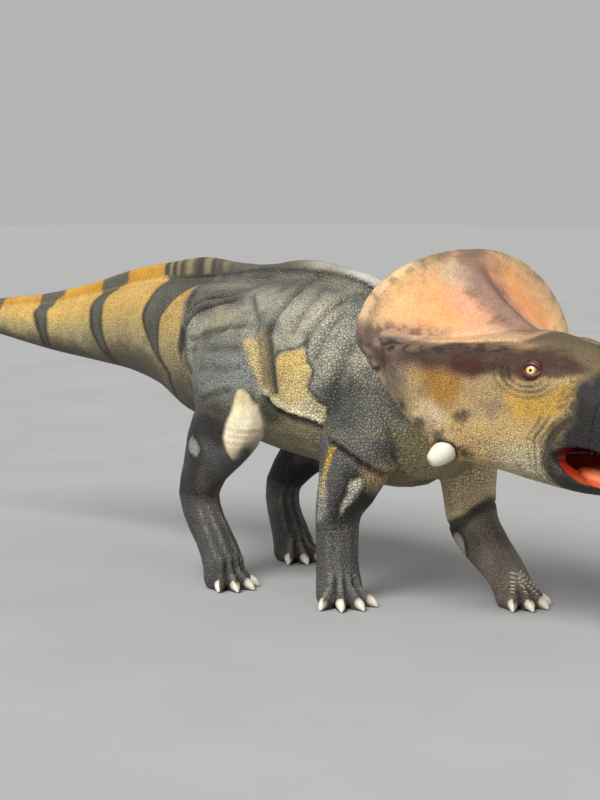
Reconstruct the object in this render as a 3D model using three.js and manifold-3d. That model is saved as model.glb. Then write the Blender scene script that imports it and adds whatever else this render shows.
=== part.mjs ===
// Life-size statue of a small frilled, beaked dinosaur (Protoceratops), walking with its mouth open.
// The figure is a painted glass-fibre casting that stands on its own four feet.
//
// Units are millimetres. +X runs towards the beak, +Y to the animal's left and +Z up.
// The figure is laid out from a point on the floor midway between its hind feet, and the finished group
// is then set with the centre of its box above the origin.
//
// The tail, torso and neck are one skin along one spine, parted by thin cuts. Each leg is a second skin
// along its own spine, parted at the joints. The head is a skin through upright sections, opened by a
// gape and carrying the frill, horns, eyes and tongue.

import * as THREE from "three";
import Module from "manifold-3d";

const wasm = await Module();
wasm.setup();

// Driving dimensions

const CLEARANCE = 0.3; // gap kept between touching pieces
const CUT_GROWTH = 0.45; // growth of a piece when it is used to cut its neighbour

// The spine from the tail's tip to the nape. x, y and z place the widest level of each section, over and
// under are its heights above and below that level, and side is its half width.
const SPINE = [
  { x: -1112, y: -168, z: 578, over: 7, under: 7, side: 6 },
  { x: -1000, y: -128, z: 566, over: 19, under: 20, side: 17 },
  { x: -865, y: -88, z: 552, over: 33, under: 34, side: 30 },
  { x: -700, y: -48, z: 541, over: 55, under: 58, side: 48 },
  { x: -540, y: -20, z: 540, over: 86, under: 80, side: 70 },
  { x: -390, y: -5, z: 546, over: 114, under: 108, side: 94 },
  { x: -260, y: 0, z: 538, over: 134, under: 134, side: 124 },
  { x: -120, y: 0, z: 512, over: 166, under: 164, side: 166 },
  { x: 20, y: 0, z: 470, over: 214, under: 148, side: 192 },
  { x: 150, y: 0, z: 450, over: 238, under: 156, side: 212 },
  { x: 280, y: 0, z: 442, over: 226, under: 168, side: 208 },
  { x: 390, y: 0, z: 430, over: 196, under: 188, side: 186 },
  { x: 480, y: 0, z: 424, over: 172, under: 180, side: 156 },
  { x: 570, y: 0, z: 430, over: 150, under: 146, side: 130 },
  { x: 680, y: -12, z: 440, over: 118, under: 110, side: 108 },
];
const TAIL_TIP_END = 2; // stations at which the spine is parted
const TAIL_MIDDLE_END = 4;
const TAIL_BASE_END = 6;
const TORSO_END = 12;
const TRUNK_SIDES = 26;
const TRUNK_SQUARENESS = 2.25;
const TRUNK_RINGS = { tail_tip: 6, tail_middle: 7, tail_base: 7, torso: 20, neck: 6 };

// The skin ridge along the back: its height above the trunk at places along x.
const RIDGE = [
  { x: -1085, height: 3 },
  { x: -1000, height: 14 },
  { x: -865, height: 25 },
  { x: -700, height: 33 },
  { x: -500, height: 38 },
  { x: -320, height: 45 },
  { x: -220, height: 56 },
  { x: -120, height: 44 },
  { x: -30, height: 46 },
  { x: 60, height: 43 },
  { x: 250, height: 36 },
  { x: 340, height: 37 },
  { x: 440, height: 20 },
];
const RIDGE_SINK = 22; // how deep the ridge is rooted in the trunk
const RIDGE_HALF_WIDTH = 15;
const RIDGE_WIDTH_SHARE = 0.6; // its half width is at most this share of the trunk's
const RIDGE_SIDES = 10;
const RIDGE_SQUARENESS = 3;

// Leg spines from the trunk to the ground. over is the half depth in front, under the half depth behind.
const LIMBS = {
  right_hind: {
    nodes: ["right_thigh", "right_shank", "right_foot"],
    joints: [3, 6],
    stations: [
      { x: 30, y: -86, z: 590, over: 90, under: 92, side: 70 },
      { x: 52, y: -146, z: 506, over: 124, under: 106, side: 80 },
      { x: 84, y: -190, z: 440, over: 117, under: 98, side: 70 },
      { x: 92, y: -202, z: 386, over: 95, under: 90, side: 62 },
      { x: 50, y: -205, z: 314, over: 76, under: 78, side: 54 },
      { x: 14, y: -203, z: 256, over: 52, under: 54, side: 46 },
      { x: -8, y: -201, z: 200, over: 46, under: 48, side: 42 },
      { x: 10, y: -202, z: 148, over: 42, under: 42, side: 40 },
      { x: 46, y: -206, z: 100, over: 42, under: 38, side: 41 },
      { x: 76, y: -211, z: 52, over: 44, under: 38, side: 47 },
      { x: 82, y: -213, z: -14, over: 44, under: 38, side: 48 },
    ],
    foot: { x: 82, y: -213, facing: -4, reach: 82 },
  },
  left_hind: {
    nodes: ["left_thigh", "left_shank", "left_foot"],
    joints: [3, 6],
    stations: [
      { x: 16, y: 86, z: 590, over: 90, under: 92, side: 70 },
      { x: 36, y: 146, z: 500, over: 112, under: 106, side: 80 },
      { x: 56, y: 182, z: 425, over: 102, under: 98, side: 70 },
      { x: 46, y: 190, z: 362, over: 88, under: 88, side: 60 },
      { x: -2, y: 186, z: 288, over: 70, under: 72, side: 52 },
      { x: -56, y: 170, z: 226, over: 50, under: 52, side: 45 },
      { x: -84, y: 157, z: 178, over: 42, under: 44, side: 40 },
      { x: -77, y: 147, z: 130, over: 38, under: 40, side: 38 },
      { x: -55, y: 138, z: 86, over: 40, under: 38, side: 41 },
      { x: -34, y: 133, z: 46, over: 46, under: 40, side: 48 },
      { x: -30, y: 132, z: -14, over: 46, under: 40, side: 49 },
    ],
    foot: { x: -27, y: 131, facing: -6, reach: 88 },
  },
  right_fore: {
    nodes: ["right_upper_arm", "right_forearm", "right_hand"],
    joints: [2, 4],
    stations: [
      { x: 396, y: -92, z: 470, over: 74, under: 80, side: 66 },
      { x: 420, y: -140, z: 352, over: 98, under: 92, side: 68 },
      { x: 404, y: -160, z: 262, over: 74, under: 68, side: 54 },
      { x: 383, y: -163, z: 198, over: 48, under: 52, side: 46 },
      { x: 378, y: -163, z: 128, over: 44, under: 46, side: 43 },
      { x: 382, y: -167, z: 74, over: 44, under: 44, side: 45 },
      { x: 391, y: -173, z: 34, over: 49, under: 45, side: 50 },
      { x: 394, y: -175, z: -14, over: 49, under: 45, side: 51 },
    ],
    foot: { x: 395, y: -176, facing: -26, reach: 92 },
  },
  left_fore: {
    nodes: ["left_upper_arm", "left_forearm", "left_hand"],
    joints: [2, 4],
    stations: [
      { x: 446, y: 88, z: 440, over: 76, under: 78, side: 64 },
      { x: 510, y: 108, z: 320, over: 74, under: 74, side: 60 },
      { x: 527, y: 104, z: 226, over: 60, under: 62, side: 51 },
      { x: 545, y: 101, z: 160, over: 52, under: 62, side: 48 },
      { x: 590, y: 97, z: 108, over: 45, under: 52, side: 45 },
      { x: 638, y: 87, z: 66, over: 41, under: 40, side: 45 },
      { x: 668, y: 74, z: 30, over: 41, under: 32, side: 47 },
      { x: 677, y: 69, z: -14, over: 39, under: 28, side: 47 },
    ],
    foot: { x: 676, y: 68, facing: -5, reach: 82 },
  },
};
const LIMB_SIDES = 16;
const LIMB_RINGS = [7, 7, 7]; // rings in each of a limb's three lengths
const LIMB_SQUARENESS = 2.2;

// Toes fan out from the foot's centre. Sizes along a toe are shares of the foot's reach.
const TOE_ANGLES = [-50, -19, 11, 44];
const TOE_LENGTH_SHARES = [0.93, 1, 1.02, 0.95];
const TOE = [
  { share: 0.1, z: 34, radius: 28 },
  { share: 0.42, z: 20, radius: 22 },
  { share: 0.62, z: 16, radius: 19 },
  { share: 0.76, z: 14, radius: 15 },
  { share: 0.82, z: 13, radius: 6 },
];
const CLAW = [
  { share: 0.6, z: 17, radius: 12.5 },
  { share: 0.76, z: 16, radius: 12.5 },
  { share: 0.88, z: 12, radius: 9.5 },
  { share: 0.97, z: 6.5, radius: 5.2 },
  { share: 1.02, z: 2.5, radius: 1.2 },
];
const TOE_SIDES = 10;
const CLAW_SIDES = 8;
const DIGIT_RINGS = 5;
const ROUND = 2; // squareness of a plain ellipse

// The head has its own frame: x forward, turned to the animal's right about a point under the frill.
const HEAD_PLACE = new THREE.Vector3(580, 0, 0);
const HEAD_YAW_DEG = -13;

// Upright sections of the closed head along its x. top and bottom are on the midline; crown, brow and cheek
// are the half width and height of the side edges from the roof down, and jaw is the half width near the
// bottom.
const section = (x, top, [crown, crownZ], [brow, browZ], [cheek, cheekZ], jaw, bottom) =>
  ({ x, top, crown, crownZ, brow, browZ, cheek, cheekZ, jaw, bottom });
const HEAD = [
  section(20, 568, [236, 567], [264, 556], [262, 542], 228, 520),
  section(76, 578, [226, 572], [263, 554], [257, 503], 216, 450),
  section(136, 590, [194, 576], [246, 552], [242, 447], 198, 386),
  section(200, 599, [154, 577], [212, 548], [212, 396], 160, 338),
  section(260, 602, [110, 580], [176, 546], [174, 390], 116, 318),
  section(320, 597, [76, 574], [144, 544], [138, 396], 94, 304),
  section(380, 582, [60, 561], [118, 532], [108, 402], 78, 296),
  section(440, 554, [46, 535], [88, 502], [80, 404], 61, 293),
  section(500, 512, [34, 496], [61, 462], [56, 396], 43, 299),
  section(545, 462, [22, 450], [38, 426], [33, 384], 25, 314),
  section(580, 408, [8, 403], [14, 390], [12, 366], 8, 342),
];
const JAW_EDGE_SHARE = 0.2; // how far up from the bottom to the cheek the jaw's edge lies
const HEAD_RINGS = 18;
const HEAD_STEPS = 4; // points between two neighbouring control points of a section

// The open mouth: heights of the lips, and of the palate and floor between them, along the head.
const GAPE = [
  { x: 394, lipLow: 358, lipHigh: 374, floor: 358, roof: 374 },
  { x: 408, lipLow: 343, lipHigh: 384, floor: 334, roof: 392 },
  { x: 436, lipLow: 326, lipHigh: 391, floor: 311, roof: 410 },
  { x: 480, lipLow: 316, lipHigh: 388, floor: 307, roof: 412 },
  { x: 520, lipLow: 320, lipHigh: 378, floor: 315, roof: 396 },
  { x: 560, lipLow: 338, lipHigh: 364, floor: 336, roof: 371 },
  { x: 610, lipLow: 346, lipHigh: 356, floor: 345, roof: 358 },
];
const GAPE_HALF_WIDTH = 140;
const GAPE_DOME_SHARE = 0.72; // share of the jaw's half width that the palate's dome spans
const GAPE_ARCH_POWER = 0.7;
const GAPE_SPREAD_POWER = 1.8; // draws the points of a section together near the midline
const GAPE_RINGS = 12;
const GAPE_STEPS = 14;
const THROAT = { x: 398, z: 363, length: 62, width: 56, height: 32 };
const JAW_CUT = { fromX: 400, fromZ: 364, toX: 322, toZ: 300 };
const UPPER_BEAK_CUT = { topX: 512, topZ: 560, bottomX: 462, bottomZ: 360 };
const LOWER_BEAK_X = 486;
const WEDGE = { front: 700, low: 200, high: 450 }; // far edges of the wedges that part the jaw and beak

// The frill: an upright fan whose front face sweeps up from the forehead.
const FRILL = {
  halfWidth: 278,
  centreZ: 560,
  height: 193,
  spreadDeg: 101,
  marginX: 35,
  marginRise: 25,
  lobeBack: 26,
  foreheadX: 335,
  foreheadZ: 586,
  templeX: 120,
  templeHalfWidth: 238,
  templeZ: 544,
  sweepBack: 0.2, // how the front face bends between root and margin, as shares of the way
  sweepOut: 0.55,
  sweepUp: 0.04,
  dish: 26,
  rootThickness: 46,
  marginThickness: 26,
  marginBulge: 0.45, // how far the rounded margin stands out, as a share of its thickness
};
const FRILL_ACROSS = 28;
const FRILL_UP = 7;

const EYE = { x: 362, y: 112, z: 534, radius: 20 };
const HORN = {
  root: new THREE.Vector3(205, 168, 386),
  tip: new THREE.Vector3(192, 228, 347),
  rootRadius: 22,
  tipRadius: 11,
  shoulder: 0.7, // where along the horn its blunt end begins, and how thick it still is there
  shoulderShare: 0.92,
};
const HORN_SIDES = 10;
const TONGUE = [
  { x: 392, y: 0, z: 336, over: 10, under: 28, side: 24 },
  { x: 420, y: 0, z: 330, over: 15, under: 28, side: 34 },
  { x: 462, y: 0, z: 324, over: 15, under: 28, side: 32 },
  { x: 496, y: 0, z: 322, over: 11, under: 24, side: 23 },
  { x: 516, y: 0, z: 326, over: 5, under: 12, side: 10 },
];
const TONGUE_SIDES = 12;
const TONGUE_RINGS = 6;

// Colours and finishes of the painted casting

const finish = (color, roughness) => new THREE.MeshStandardMaterial({ color, roughness, metalness: 0 });
const SKIN = finish("#6f6f66", 0.62);
const TAIL_SKIN = finish("#b8974a", 0.6);
const FACE_SKIN = finish("#b9a06c", 0.6);
const FRILL_SKIN = finish("#d9a06c", 0.6);
const BEAK = finish("#2d2b2a", 0.4);
const HORN_WHITE = finish("#e6e1d3", 0.35);
const EYE_GLOSS = finish("#d9a13a", 0.12);
const MOUTH_RED = finish("#c4422e", 0.3);

// Solids from rings

// A closed skin through rings of equal point counts, with a zip of triangles over each end.
function skin(rings) {
  const count = rings[0].length;
  const positions = rings.flat().flatMap((point) => [point.x, point.y, point.z]);
  const faces = [];
  for (let i = 0; i + 1 < rings.length; i += 1) {
    for (let j = 0; j < count; j += 1) {
      const a = i * count + j;
      const b = i * count + ((j + 1) % count);
      faces.push([a, b, b + count], [a, b + count, a + count]);
    }
  }
  const last = (rings.length - 1) * count;
  for (let low = 0, high = count - 1; low + 1 < high; low += 1, high -= 1) {
    faces.push([high, low + 1, low], [last + low, last + low + 1, last + high]);
    if (low + 2 < high) {
      faces.push([high, high - 1, low + 1], [last + high, last + low + 1, last + high - 1]);
    }
  }
  const geometry = new THREE.BufferGeometry();
  geometry.setAttribute("position", new THREE.Float32BufferAttribute(positions, 3));
  geometry.setIndex(faces.flat());
  return solidOf(geometry);
}

// A closed indexed geometry as a solid, turned right side out.
function solidOf(geometry) {
  const vertProperties = new Float32Array(geometry.getAttribute("position").array);
  const triVerts = new Uint32Array(geometry.index.array);
  const made = new wasm.Manifold(new wasm.Mesh({ numProp: 3, vertProperties, triVerts }));
  if (made.volume() > 0) {
    return made;
  }
  return new wasm.Manifold(new wasm.Mesh({ numProp: 3, vertProperties, triVerts: triVerts.reverse() }));
}

// A box between two corners, used only to cut.
function block(low, high) {
  const size = high.clone().sub(low);
  const middle = low.clone().add(high).multiplyScalar(0.5);
  const box = new THREE.BoxGeometry(size.x, size.y, size.z).translate(middle.x, middle.y, middle.z);
  box.deleteAttribute("normal");
  box.deleteAttribute("uv");
  return solidOf(weld(box));
}

// Merges the vertices that a geometry class repeats along its edges.
function weld(geometry) {
  const source = geometry.getAttribute("position");
  const known = new Map();
  const positions = [];
  const place = [];
  for (let i = 0; i < source.count; i += 1) {
    const point = [source.getX(i), source.getY(i), source.getZ(i)];
    const key = point.map((value) => value.toFixed(3)).join();
    if (!known.has(key)) {
      known.set(key, known.size);
      positions.push(...point);
    }
    place.push(known.get(key));
  }
  const index = [...geometry.index.array].map((i) => place[i]);
  const corners = [];
  for (let i = 0; i < index.length; i += 3) {
    const face = index.slice(i, i + 3);
    if (new Set(face).size === 3) {
      corners.push(...face);
    }
  }
  const welded = new THREE.BufferGeometry();
  welded.setAttribute("position", new THREE.Float32BufferAttribute(positions, 3));
  welded.setIndex(corners);
  return welded;
}

const joined = (pieces) => pieces.reduce((whole, piece) => whole.add(piece));

// The largest closed body of a solid, without scraps or sealed hollows.
function largest(solid) {
  return solid.decompose().reduce((best, piece) => (piece.volume() > best.volume() ? piece : best));
}

function meshOf(name, solid, material) {
  const made = largest(solid).getMesh();
  const geometry = new THREE.BufferGeometry();
  geometry.setAttribute("position", new THREE.BufferAttribute(made.vertProperties, 3));
  geometry.setIndex(new THREE.BufferAttribute(made.triVerts, 1));
  geometry.computeVertexNormals();
  const mesh = new THREE.Mesh(geometry, material);
  mesh.name = name;
  return mesh;
}

// Smooth values through a table of stations, read at any value of the first measure.
function smooth(stations, measures) {
  const fields = Object.keys(stations[0]);
  const values = stations.flatMap((station) => fields.map((field) => station[field]));
  const spline = new THREE.CubicInterpolant(measures, values, fields.length);
  return (at) => {
    const sample = spline.evaluate(at);
    return Object.fromEntries(fields.map((field, i) => [field, sample[i]]));
  };
}

const alongX = (stations) => smooth(stations, stations.map((station) => station.x));

// A spine through stations, read by the distance along it.
function spineOf(stations) {
  const places = stations.map((station) => new THREE.Vector3(station.x, station.y, station.z));
  const marks = [0];
  for (let i = 1; i < places.length; i += 1) {
    marks.push(marks[i - 1] + places[i].distanceTo(places[i - 1]));
  }
  return { at: smooth(stations, marks), marks, length: marks.at(-1) };
}

const FRAME_STEP = 1;
const LEFT = new THREE.Vector3(0, 1, 0);

// The spine's place, its two cross directions and its sizes at a distance along it.
function frameAt(spine, at) {
  const size = spine.at(at);
  const place = new THREE.Vector3(size.x, size.y, size.z);
  const ahead = spine.at(Math.min(at + FRAME_STEP, spine.length));
  const behind = spine.at(Math.max(at - FRAME_STEP, 0));
  const along = new THREE.Vector3(ahead.x - behind.x, ahead.y - behind.y, ahead.z - behind.z).normalize();
  const side = LEFT.clone().addScaledVector(along, -LEFT.dot(along)).normalize();
  const over = new THREE.Vector3().crossVectors(along, side);
  return { place, along, side, over, size };
}

const rounded = (value, squareness) => Math.sign(value) * Math.abs(value) ** (2 / squareness);

// One egg-shaped ring about a frame: side is its half width, over and under its two half heights.
function eggRing({ place, side, over, size }, sides, squareness, grow) {
  return Array.from({ length: sides }, (_, i) => {
    const turn = (2 * Math.PI * i) / sides;
    const across = rounded(Math.cos(turn), squareness) * (size.side + grow);
    const tall = rounded(Math.sin(turn), squareness);
    const height = tall * ((tall > 0 ? size.over : size.under) + grow);
    return place.clone().addScaledVector(side, across).addScaledVector(over, height);
  });
}

// Evenly spaced numbers from one value to another, both included.
const spaced = (from, to, steps) =>
  Array.from({ length: steps + 1 }, (_, i) => from + ((to - from) * i) / steps);

// A limb-like skin along a spine between two distances, longer by grow at both ends.
function tube(spine, from, to, { steps, sides, squareness = LIMB_SQUARENESS, grow = 0 }) {
  const frames = spaced(from, to, steps).map((at) => frameAt(spine, at));
  frames[0].place.addScaledVector(frames[0].along, -grow);
  frames.at(-1).place.addScaledVector(frames.at(-1).along, grow);
  return skin(frames.map((frame) => eggRing(frame, sides, squareness, grow)));
}

// Tail, torso and neck

const trunkSpine = spineOf(SPINE);
const ridgeHeight = alongX(RIDGE);

// The back ridge between two distances along the trunk, rooted in it.
function ridge(from, to, steps, grow) {
  const rings = spaced(from, to, steps).map((at) => {
    const frame = frameAt(trunkSpine, at);
    const height = ridgeHeight(THREE.MathUtils.clamp(frame.size.x, RIDGE[0].x, RIDGE.at(-1).x)).height;
    const half = (height + RIDGE_SINK) / 2;
    const lift = frame.size.over + height - half;
    const width = Math.min(RIDGE_HALF_WIDTH, frame.size.side * RIDGE_WIDTH_SHARE);
    const place = frame.place.clone().addScaledVector(frame.over, lift);
    const size = { side: width, over: half, under: half };
    return eggRing({ ...frame, place, size }, RIDGE_SIDES, RIDGE_SQUARENESS, grow);
  });
  return skin(rings);
}

// A length of the trunk between two stations, with its share of the back ridge.
function trunkLength(first, last, steps, grow = 0) {
  const from = trunkSpine.marks[first] + CLEARANCE / 2;
  const to = trunkSpine.marks[last] - CLEARANCE / 2;
  const body = tube(trunkSpine, from, to, {
    steps,
    sides: TRUNK_SIDES,
    squareness: TRUNK_SQUARENESS,
    grow,
  });
  const ridgeFrom = Math.max(from, trunkSpine.marks[0] + (RIDGE[0].x - SPINE[0].x));
  const crest = ridge(ridgeFrom, to, steps, grow);
  return body.add(crest);
}

const torso = trunkLength(TAIL_BASE_END, TORSO_END, TRUNK_RINGS.torso);
const neckWhole = tube(trunkSpine, trunkSpine.marks[TORSO_END] + CLEARANCE / 2, trunkSpine.length, {
  steps: TRUNK_RINGS.neck,
  sides: TRUNK_SIDES,
  squareness: TRUNK_SQUARENESS,
});
const trunkCutter = joined([
  trunkLength(TAIL_MIDDLE_END, TAIL_BASE_END, TRUNK_RINGS.tail_base, CUT_GROWTH),
  trunkLength(TAIL_BASE_END, TORSO_END, TRUNK_RINGS.torso, CUT_GROWTH),
  tube(trunkSpine, trunkSpine.marks[TORSO_END] - 1, trunkSpine.length, {
    steps: TRUNK_RINGS.neck,
    sides: TRUNK_SIDES,
    squareness: TRUNK_SQUARENESS,
    grow: CUT_GROWTH,
  }),
]);

// Legs, feet and claws

const FLOOR_DEPTH = 200;
const FLOOR_REACH = 2000;
const belowFloor = block(
  new THREE.Vector3(-FLOOR_REACH, -FLOOR_REACH, -FLOOR_DEPTH),
  new THREE.Vector3(FLOOR_REACH, FLOOR_REACH, 0),
);

// A toe or claw: a tapering skin that runs out from the foot's centre at one angle.
function digit(foot, index, table, sides, grow = 0) {
  const angle = THREE.MathUtils.degToRad(foot.facing + TOE_ANGLES[index]);
  const reach = foot.reach * TOE_LENGTH_SHARES[index];
  const stations = table.map(({ share, z, radius }) => ({
    x: foot.x + Math.cos(angle) * reach * share,
    y: foot.y + Math.sin(angle) * reach * share,
    z,
    over: radius,
    under: radius,
    side: radius,
  }));
  const spine = spineOf(stations);
  return tube(spine, 0, spine.length, { steps: DIGIT_RINGS, sides, squareness: ROUND, grow });
}

// The last length of a leg, with its toes, flat where it stands.
function footSolid(spine, from, foot, grow = 0) {
  const shaft = tube(spine, from, spine.length, { steps: LIMB_RINGS[2], sides: LIMB_SIDES, grow });
  const toes = TOE_ANGLES.map((_, i) => digit(foot, i, TOE, TOE_SIDES, grow));
  return joined([shaft, ...toes]).subtract(belowFloor);
}

function leg({ nodes, joints, stations, foot }) {
  const spine = spineOf(stations);
  const [knee, ankle] = joints.map((joint) => spine.marks[joint]);
  const half = CLEARANCE / 2;
  const length = (from, to, steps, grow = 0) => tube(spine, from, to, { steps, sides: LIMB_SIDES, grow });
  const upper = length(0, knee - half, LIMB_RINGS[0]);
  const lower = length(knee + half, ankle - half, LIMB_RINGS[1]);
  const aboveKnee = trunkCutter.add(length(0, knee - half, LIMB_RINGS[0], CLEARANCE));
  const aboveAnkle = length(knee + half, ankle - half, LIMB_RINGS[1], CLEARANCE);
  const [upperName, lowerName, footName] = nodes;
  const group = new THREE.Group();
  group.add(meshOf(upperName, upper.subtract(trunkCutter), SKIN));
  group.add(meshOf(lowerName, lower.subtract(aboveKnee), SKIN));
  group.add(meshOf(footName, footSolid(spine, ankle + half, foot).subtract(aboveAnkle), SKIN));
  const cutter = footSolid(spine, ankle + half, foot, CUT_GROWTH);
  TOE_ANGLES.forEach((_, i) => {
    const claw = digit(foot, i, CLAW, CLAW_SIDES).subtract(cutter);
    group.add(meshOf(`${footName}_claw_${i + 1}`, claw, HORN_WHITE));
  });
  return group;
}

// Head

const headAt = alongX(HEAD);
const gapeAt = alongX(GAPE);

// One upright section of the closed head: a smooth loop through named edges, mirrored about the midline.
function headRing(x, grow) {
  const size = headAt(x);
  const half = [
    [size.crown, size.crownZ],
    [size.brow, size.browZ],
    [size.cheek, size.cheekZ],
    [size.jaw, size.bottom + (size.cheekZ - size.bottom) * JAW_EDGE_SHARE],
  ];
  const left = half.map(([y, z]) => new THREE.Vector3(x, y, z));
  const right = half.map(([y, z]) => new THREE.Vector3(x, -y, z)).reverse();
  const top = new THREE.Vector3(x, 0, size.top);
  const bottom = new THREE.Vector3(x, 0, size.bottom);
  const loop = new THREE.CatmullRomCurve3([top, ...left, bottom, ...right], true, "catmullrom", 0.5);
  const points = loop.getPoints(HEAD_STEPS * loop.points.length).slice(0, -1);
  const middle = new THREE.Vector3(x, 0, (size.top + size.bottom) / 2);
  return points.map((point) => {
    const out = point.clone().sub(middle).normalize();
    return point.addScaledVector(out, grow);
  });
}

function closedHead(grow) {
  const xs = spaced(HEAD[0].x, HEAD.at(-1).x, HEAD_RINGS);
  const rings = xs.map((x) => headRing(x, grow));
  rings[0].forEach((point) => (point.x -= grow));
  rings.at(-1).forEach((point) => (point.x += grow));
  return skin(rings);
}

// The space of the open mouth, arched between the lips and rounded at the corners.
function gape(grow) {
  const shares = spaced(-1, 1, GAPE_STEPS);
  const rings = spaced(GAPE[0].x, GAPE.at(-1).x, GAPE_RINGS).map((x) => {
    const lips = gapeAt(x);
    const dome = headAt(Math.min(x, HEAD.at(-1).x)).cheek * GAPE_DOME_SHARE;
    const arch = (y) => Math.max(0, 1 - (y / dome) ** 2) ** GAPE_ARCH_POWER;
    const spread = (share) => Math.sign(share) * Math.abs(share) ** GAPE_SPREAD_POWER * GAPE_HALF_WIDTH;
    const upper = (y) => lips.lipHigh + (lips.roof - lips.lipHigh) * arch(y) + grow;
    const lower = (y) => lips.lipLow + (lips.floor - lips.lipLow) * arch(y) - grow;
    return [
      ...shares.map((share) => new THREE.Vector3(x, spread(share), upper(spread(share)))),
      ...shares.toReversed().map((share) => new THREE.Vector3(x, spread(share), lower(spread(share)))),
    ];
  });
  return skin(rings);
}

function ellipsoid(centre, radii, columns = 14, rows = 8) {
  const ball = new THREE.SphereGeometry(1, columns, rows);
  ball.scale(radii.x, radii.y, radii.z).translate(centre.x, centre.y, centre.z);
  return solidOf(weld(ball));
}

const throat = (grow) =>
  ellipsoid(
    new THREE.Vector3(THROAT.x, 0, THROAT.z),
    new THREE.Vector3(THROAT.length + grow, THROAT.width + grow, THROAT.height + grow),
  );

const eyeBall = (side, grow) =>
  ellipsoid(
    new THREE.Vector3(EYE.x, EYE.y * side, EYE.z),
    new THREE.Vector3(1, 1, 1).multiplyScalar(EYE.radius + grow),
  );

// The wedge below and ahead of a slanted line in the head's side view, used to part the jaw or a beak.
function wedge(points) {
  const outline = new THREE.Shape(points.map(([x, z]) => new THREE.Vector2(x, z)));
  const depth = 2 * GAPE_HALF_WIDTH;
  const slab = new THREE.ExtrudeGeometry(outline, { depth, bevelEnabled: false });
  slab.rotateX(Math.PI / 2).translate(0, depth / 2, 0);
  slab.deleteAttribute("normal");
  slab.deleteAttribute("uv");
  slab.setIndex([...Array(slab.getAttribute("position").count).keys()]);
  return solidOf(weld(slab));
}

// The outline of the lower jaw's wedge, moved down and forward by a gap.
const jawWedge = (gap) =>
  wedge([
    [JAW_CUT.fromX + gap, JAW_CUT.fromZ - gap],
    [JAW_CUT.toX + gap, JAW_CUT.toZ - gap],
    [JAW_CUT.toX + gap, WEDGE.low],
    [WEDGE.front, WEDGE.low],
    [WEDGE.front, JAW_CUT.fromZ - gap],
  ]);

const beakWedge = (gap) =>
  wedge([
    [UPPER_BEAK_CUT.topX + gap, UPPER_BEAK_CUT.topZ],
    [UPPER_BEAK_CUT.bottomX + gap, UPPER_BEAK_CUT.bottomZ],
    [WEDGE.front, UPPER_BEAK_CUT.bottomZ],
    [WEDGE.front, UPPER_BEAK_CUT.topZ],
  ]);

const lowerBeakWedge = (gap) =>
  wedge([
    [LOWER_BEAK_X + gap, WEDGE.high],
    [LOWER_BEAK_X + gap, WEDGE.low],
    [WEDGE.front, WEDGE.low],
    [WEDGE.front, WEDGE.high],
  ]);

// The head with its mouth open, before it is parted.
function openHead(grow) {
  const sockets = [1, -1].map((side) => eyeBall(side, CLEARANCE - grow));
  return closedHead(grow).subtract(joined([gape(-grow), throat(-grow), ...sockets]));
}

// One radial ring of the frill: up its front face, over the margin and down its back.
function frillFront(share, up) {
  const angle = THREE.MathUtils.degToRad(FRILL.spreadDeg * share);
  const away = Math.abs(share);
  const margin = new THREE.Vector3(
    FRILL.marginX + FRILL.marginRise * Math.cos(angle) ** 2 - FRILL.lobeBack * Math.sin(2 * Math.abs(angle)),
    FRILL.halfWidth * Math.sin(angle),
    FRILL.centreZ + FRILL.height * Math.cos(angle),
  );
  const root = new THREE.Vector3(
    FRILL.foreheadX + (FRILL.templeX - FRILL.foreheadX) * away ** 1.15,
    FRILL.templeHalfWidth * Math.sign(share) * away ** 0.85,
    FRILL.foreheadZ + (FRILL.templeZ - FRILL.foreheadZ) * away,
  );
  const sweep = new THREE.Vector3(
    margin.x + (root.x - margin.x) * FRILL.sweepBack,
    root.y + (margin.y - root.y) * FRILL.sweepOut,
    root.z + (margin.z - root.z) * FRILL.sweepUp,
  );
  const curve = new THREE.QuadraticBezierCurve3(root, sweep, margin);
  const dish = FRILL.dish * Math.sin(Math.PI * up) * Math.sin(Math.PI * away) ** 2;
  return curve.getPoint(up).add(new THREE.Vector3(-dish * up, 0, -dish * (1 - up)));
}

function frillNormal(share, up) {
  const step = 0.01;
  const across = frillFront(Math.min(share + step, 1), up).sub(frillFront(Math.max(share - step, -1), up));
  const rise = frillFront(share, Math.min(up + step, 1)).sub(frillFront(share, Math.max(up - step, 0)));
  return across.cross(rise).normalize();
}

function frill(grow) {
  const rings = spaced(-1, 1, FRILL_ACROSS).map((share) => {
    const ups = spaced(0, 1, FRILL_UP);
    const front = ups.map((up) => frillFront(share, up).addScaledVector(frillNormal(share, up), grow));
    const back = ups.map((up) => {
      const thickness = FRILL.rootThickness + (FRILL.marginThickness - FRILL.rootThickness) * up;
      return frillFront(share, up).addScaledVector(frillNormal(share, up), -thickness - grow);
    });
    const rise = frillFront(share, 1).sub(frillFront(share, 0.95)).normalize();
    const crown = front.at(-1).clone().add(back.at(-1)).multiplyScalar(0.5);
    crown.addScaledVector(rise, FRILL.marginThickness * FRILL.marginBulge + grow);
    return [...front, crown, ...back.reverse()];
  });
  return skin(rings);
}

function cheekHorn(side) {
  const stations = [HORN.root, HORN.root.clone().lerp(HORN.tip, HORN.shoulder), HORN.tip].map((place, i) => {
    const radius = [HORN.rootRadius, HORN.rootRadius * HORN.shoulderShare, HORN.tipRadius][i];
    return { x: place.x, y: place.y * side, z: place.z, over: radius, under: radius, side: radius };
  });
  const spine = spineOf(stations);
  return tube(spine, 0, spine.length, { steps: DIGIT_RINGS, sides: HORN_SIDES, squareness: ROUND });
}

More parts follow.
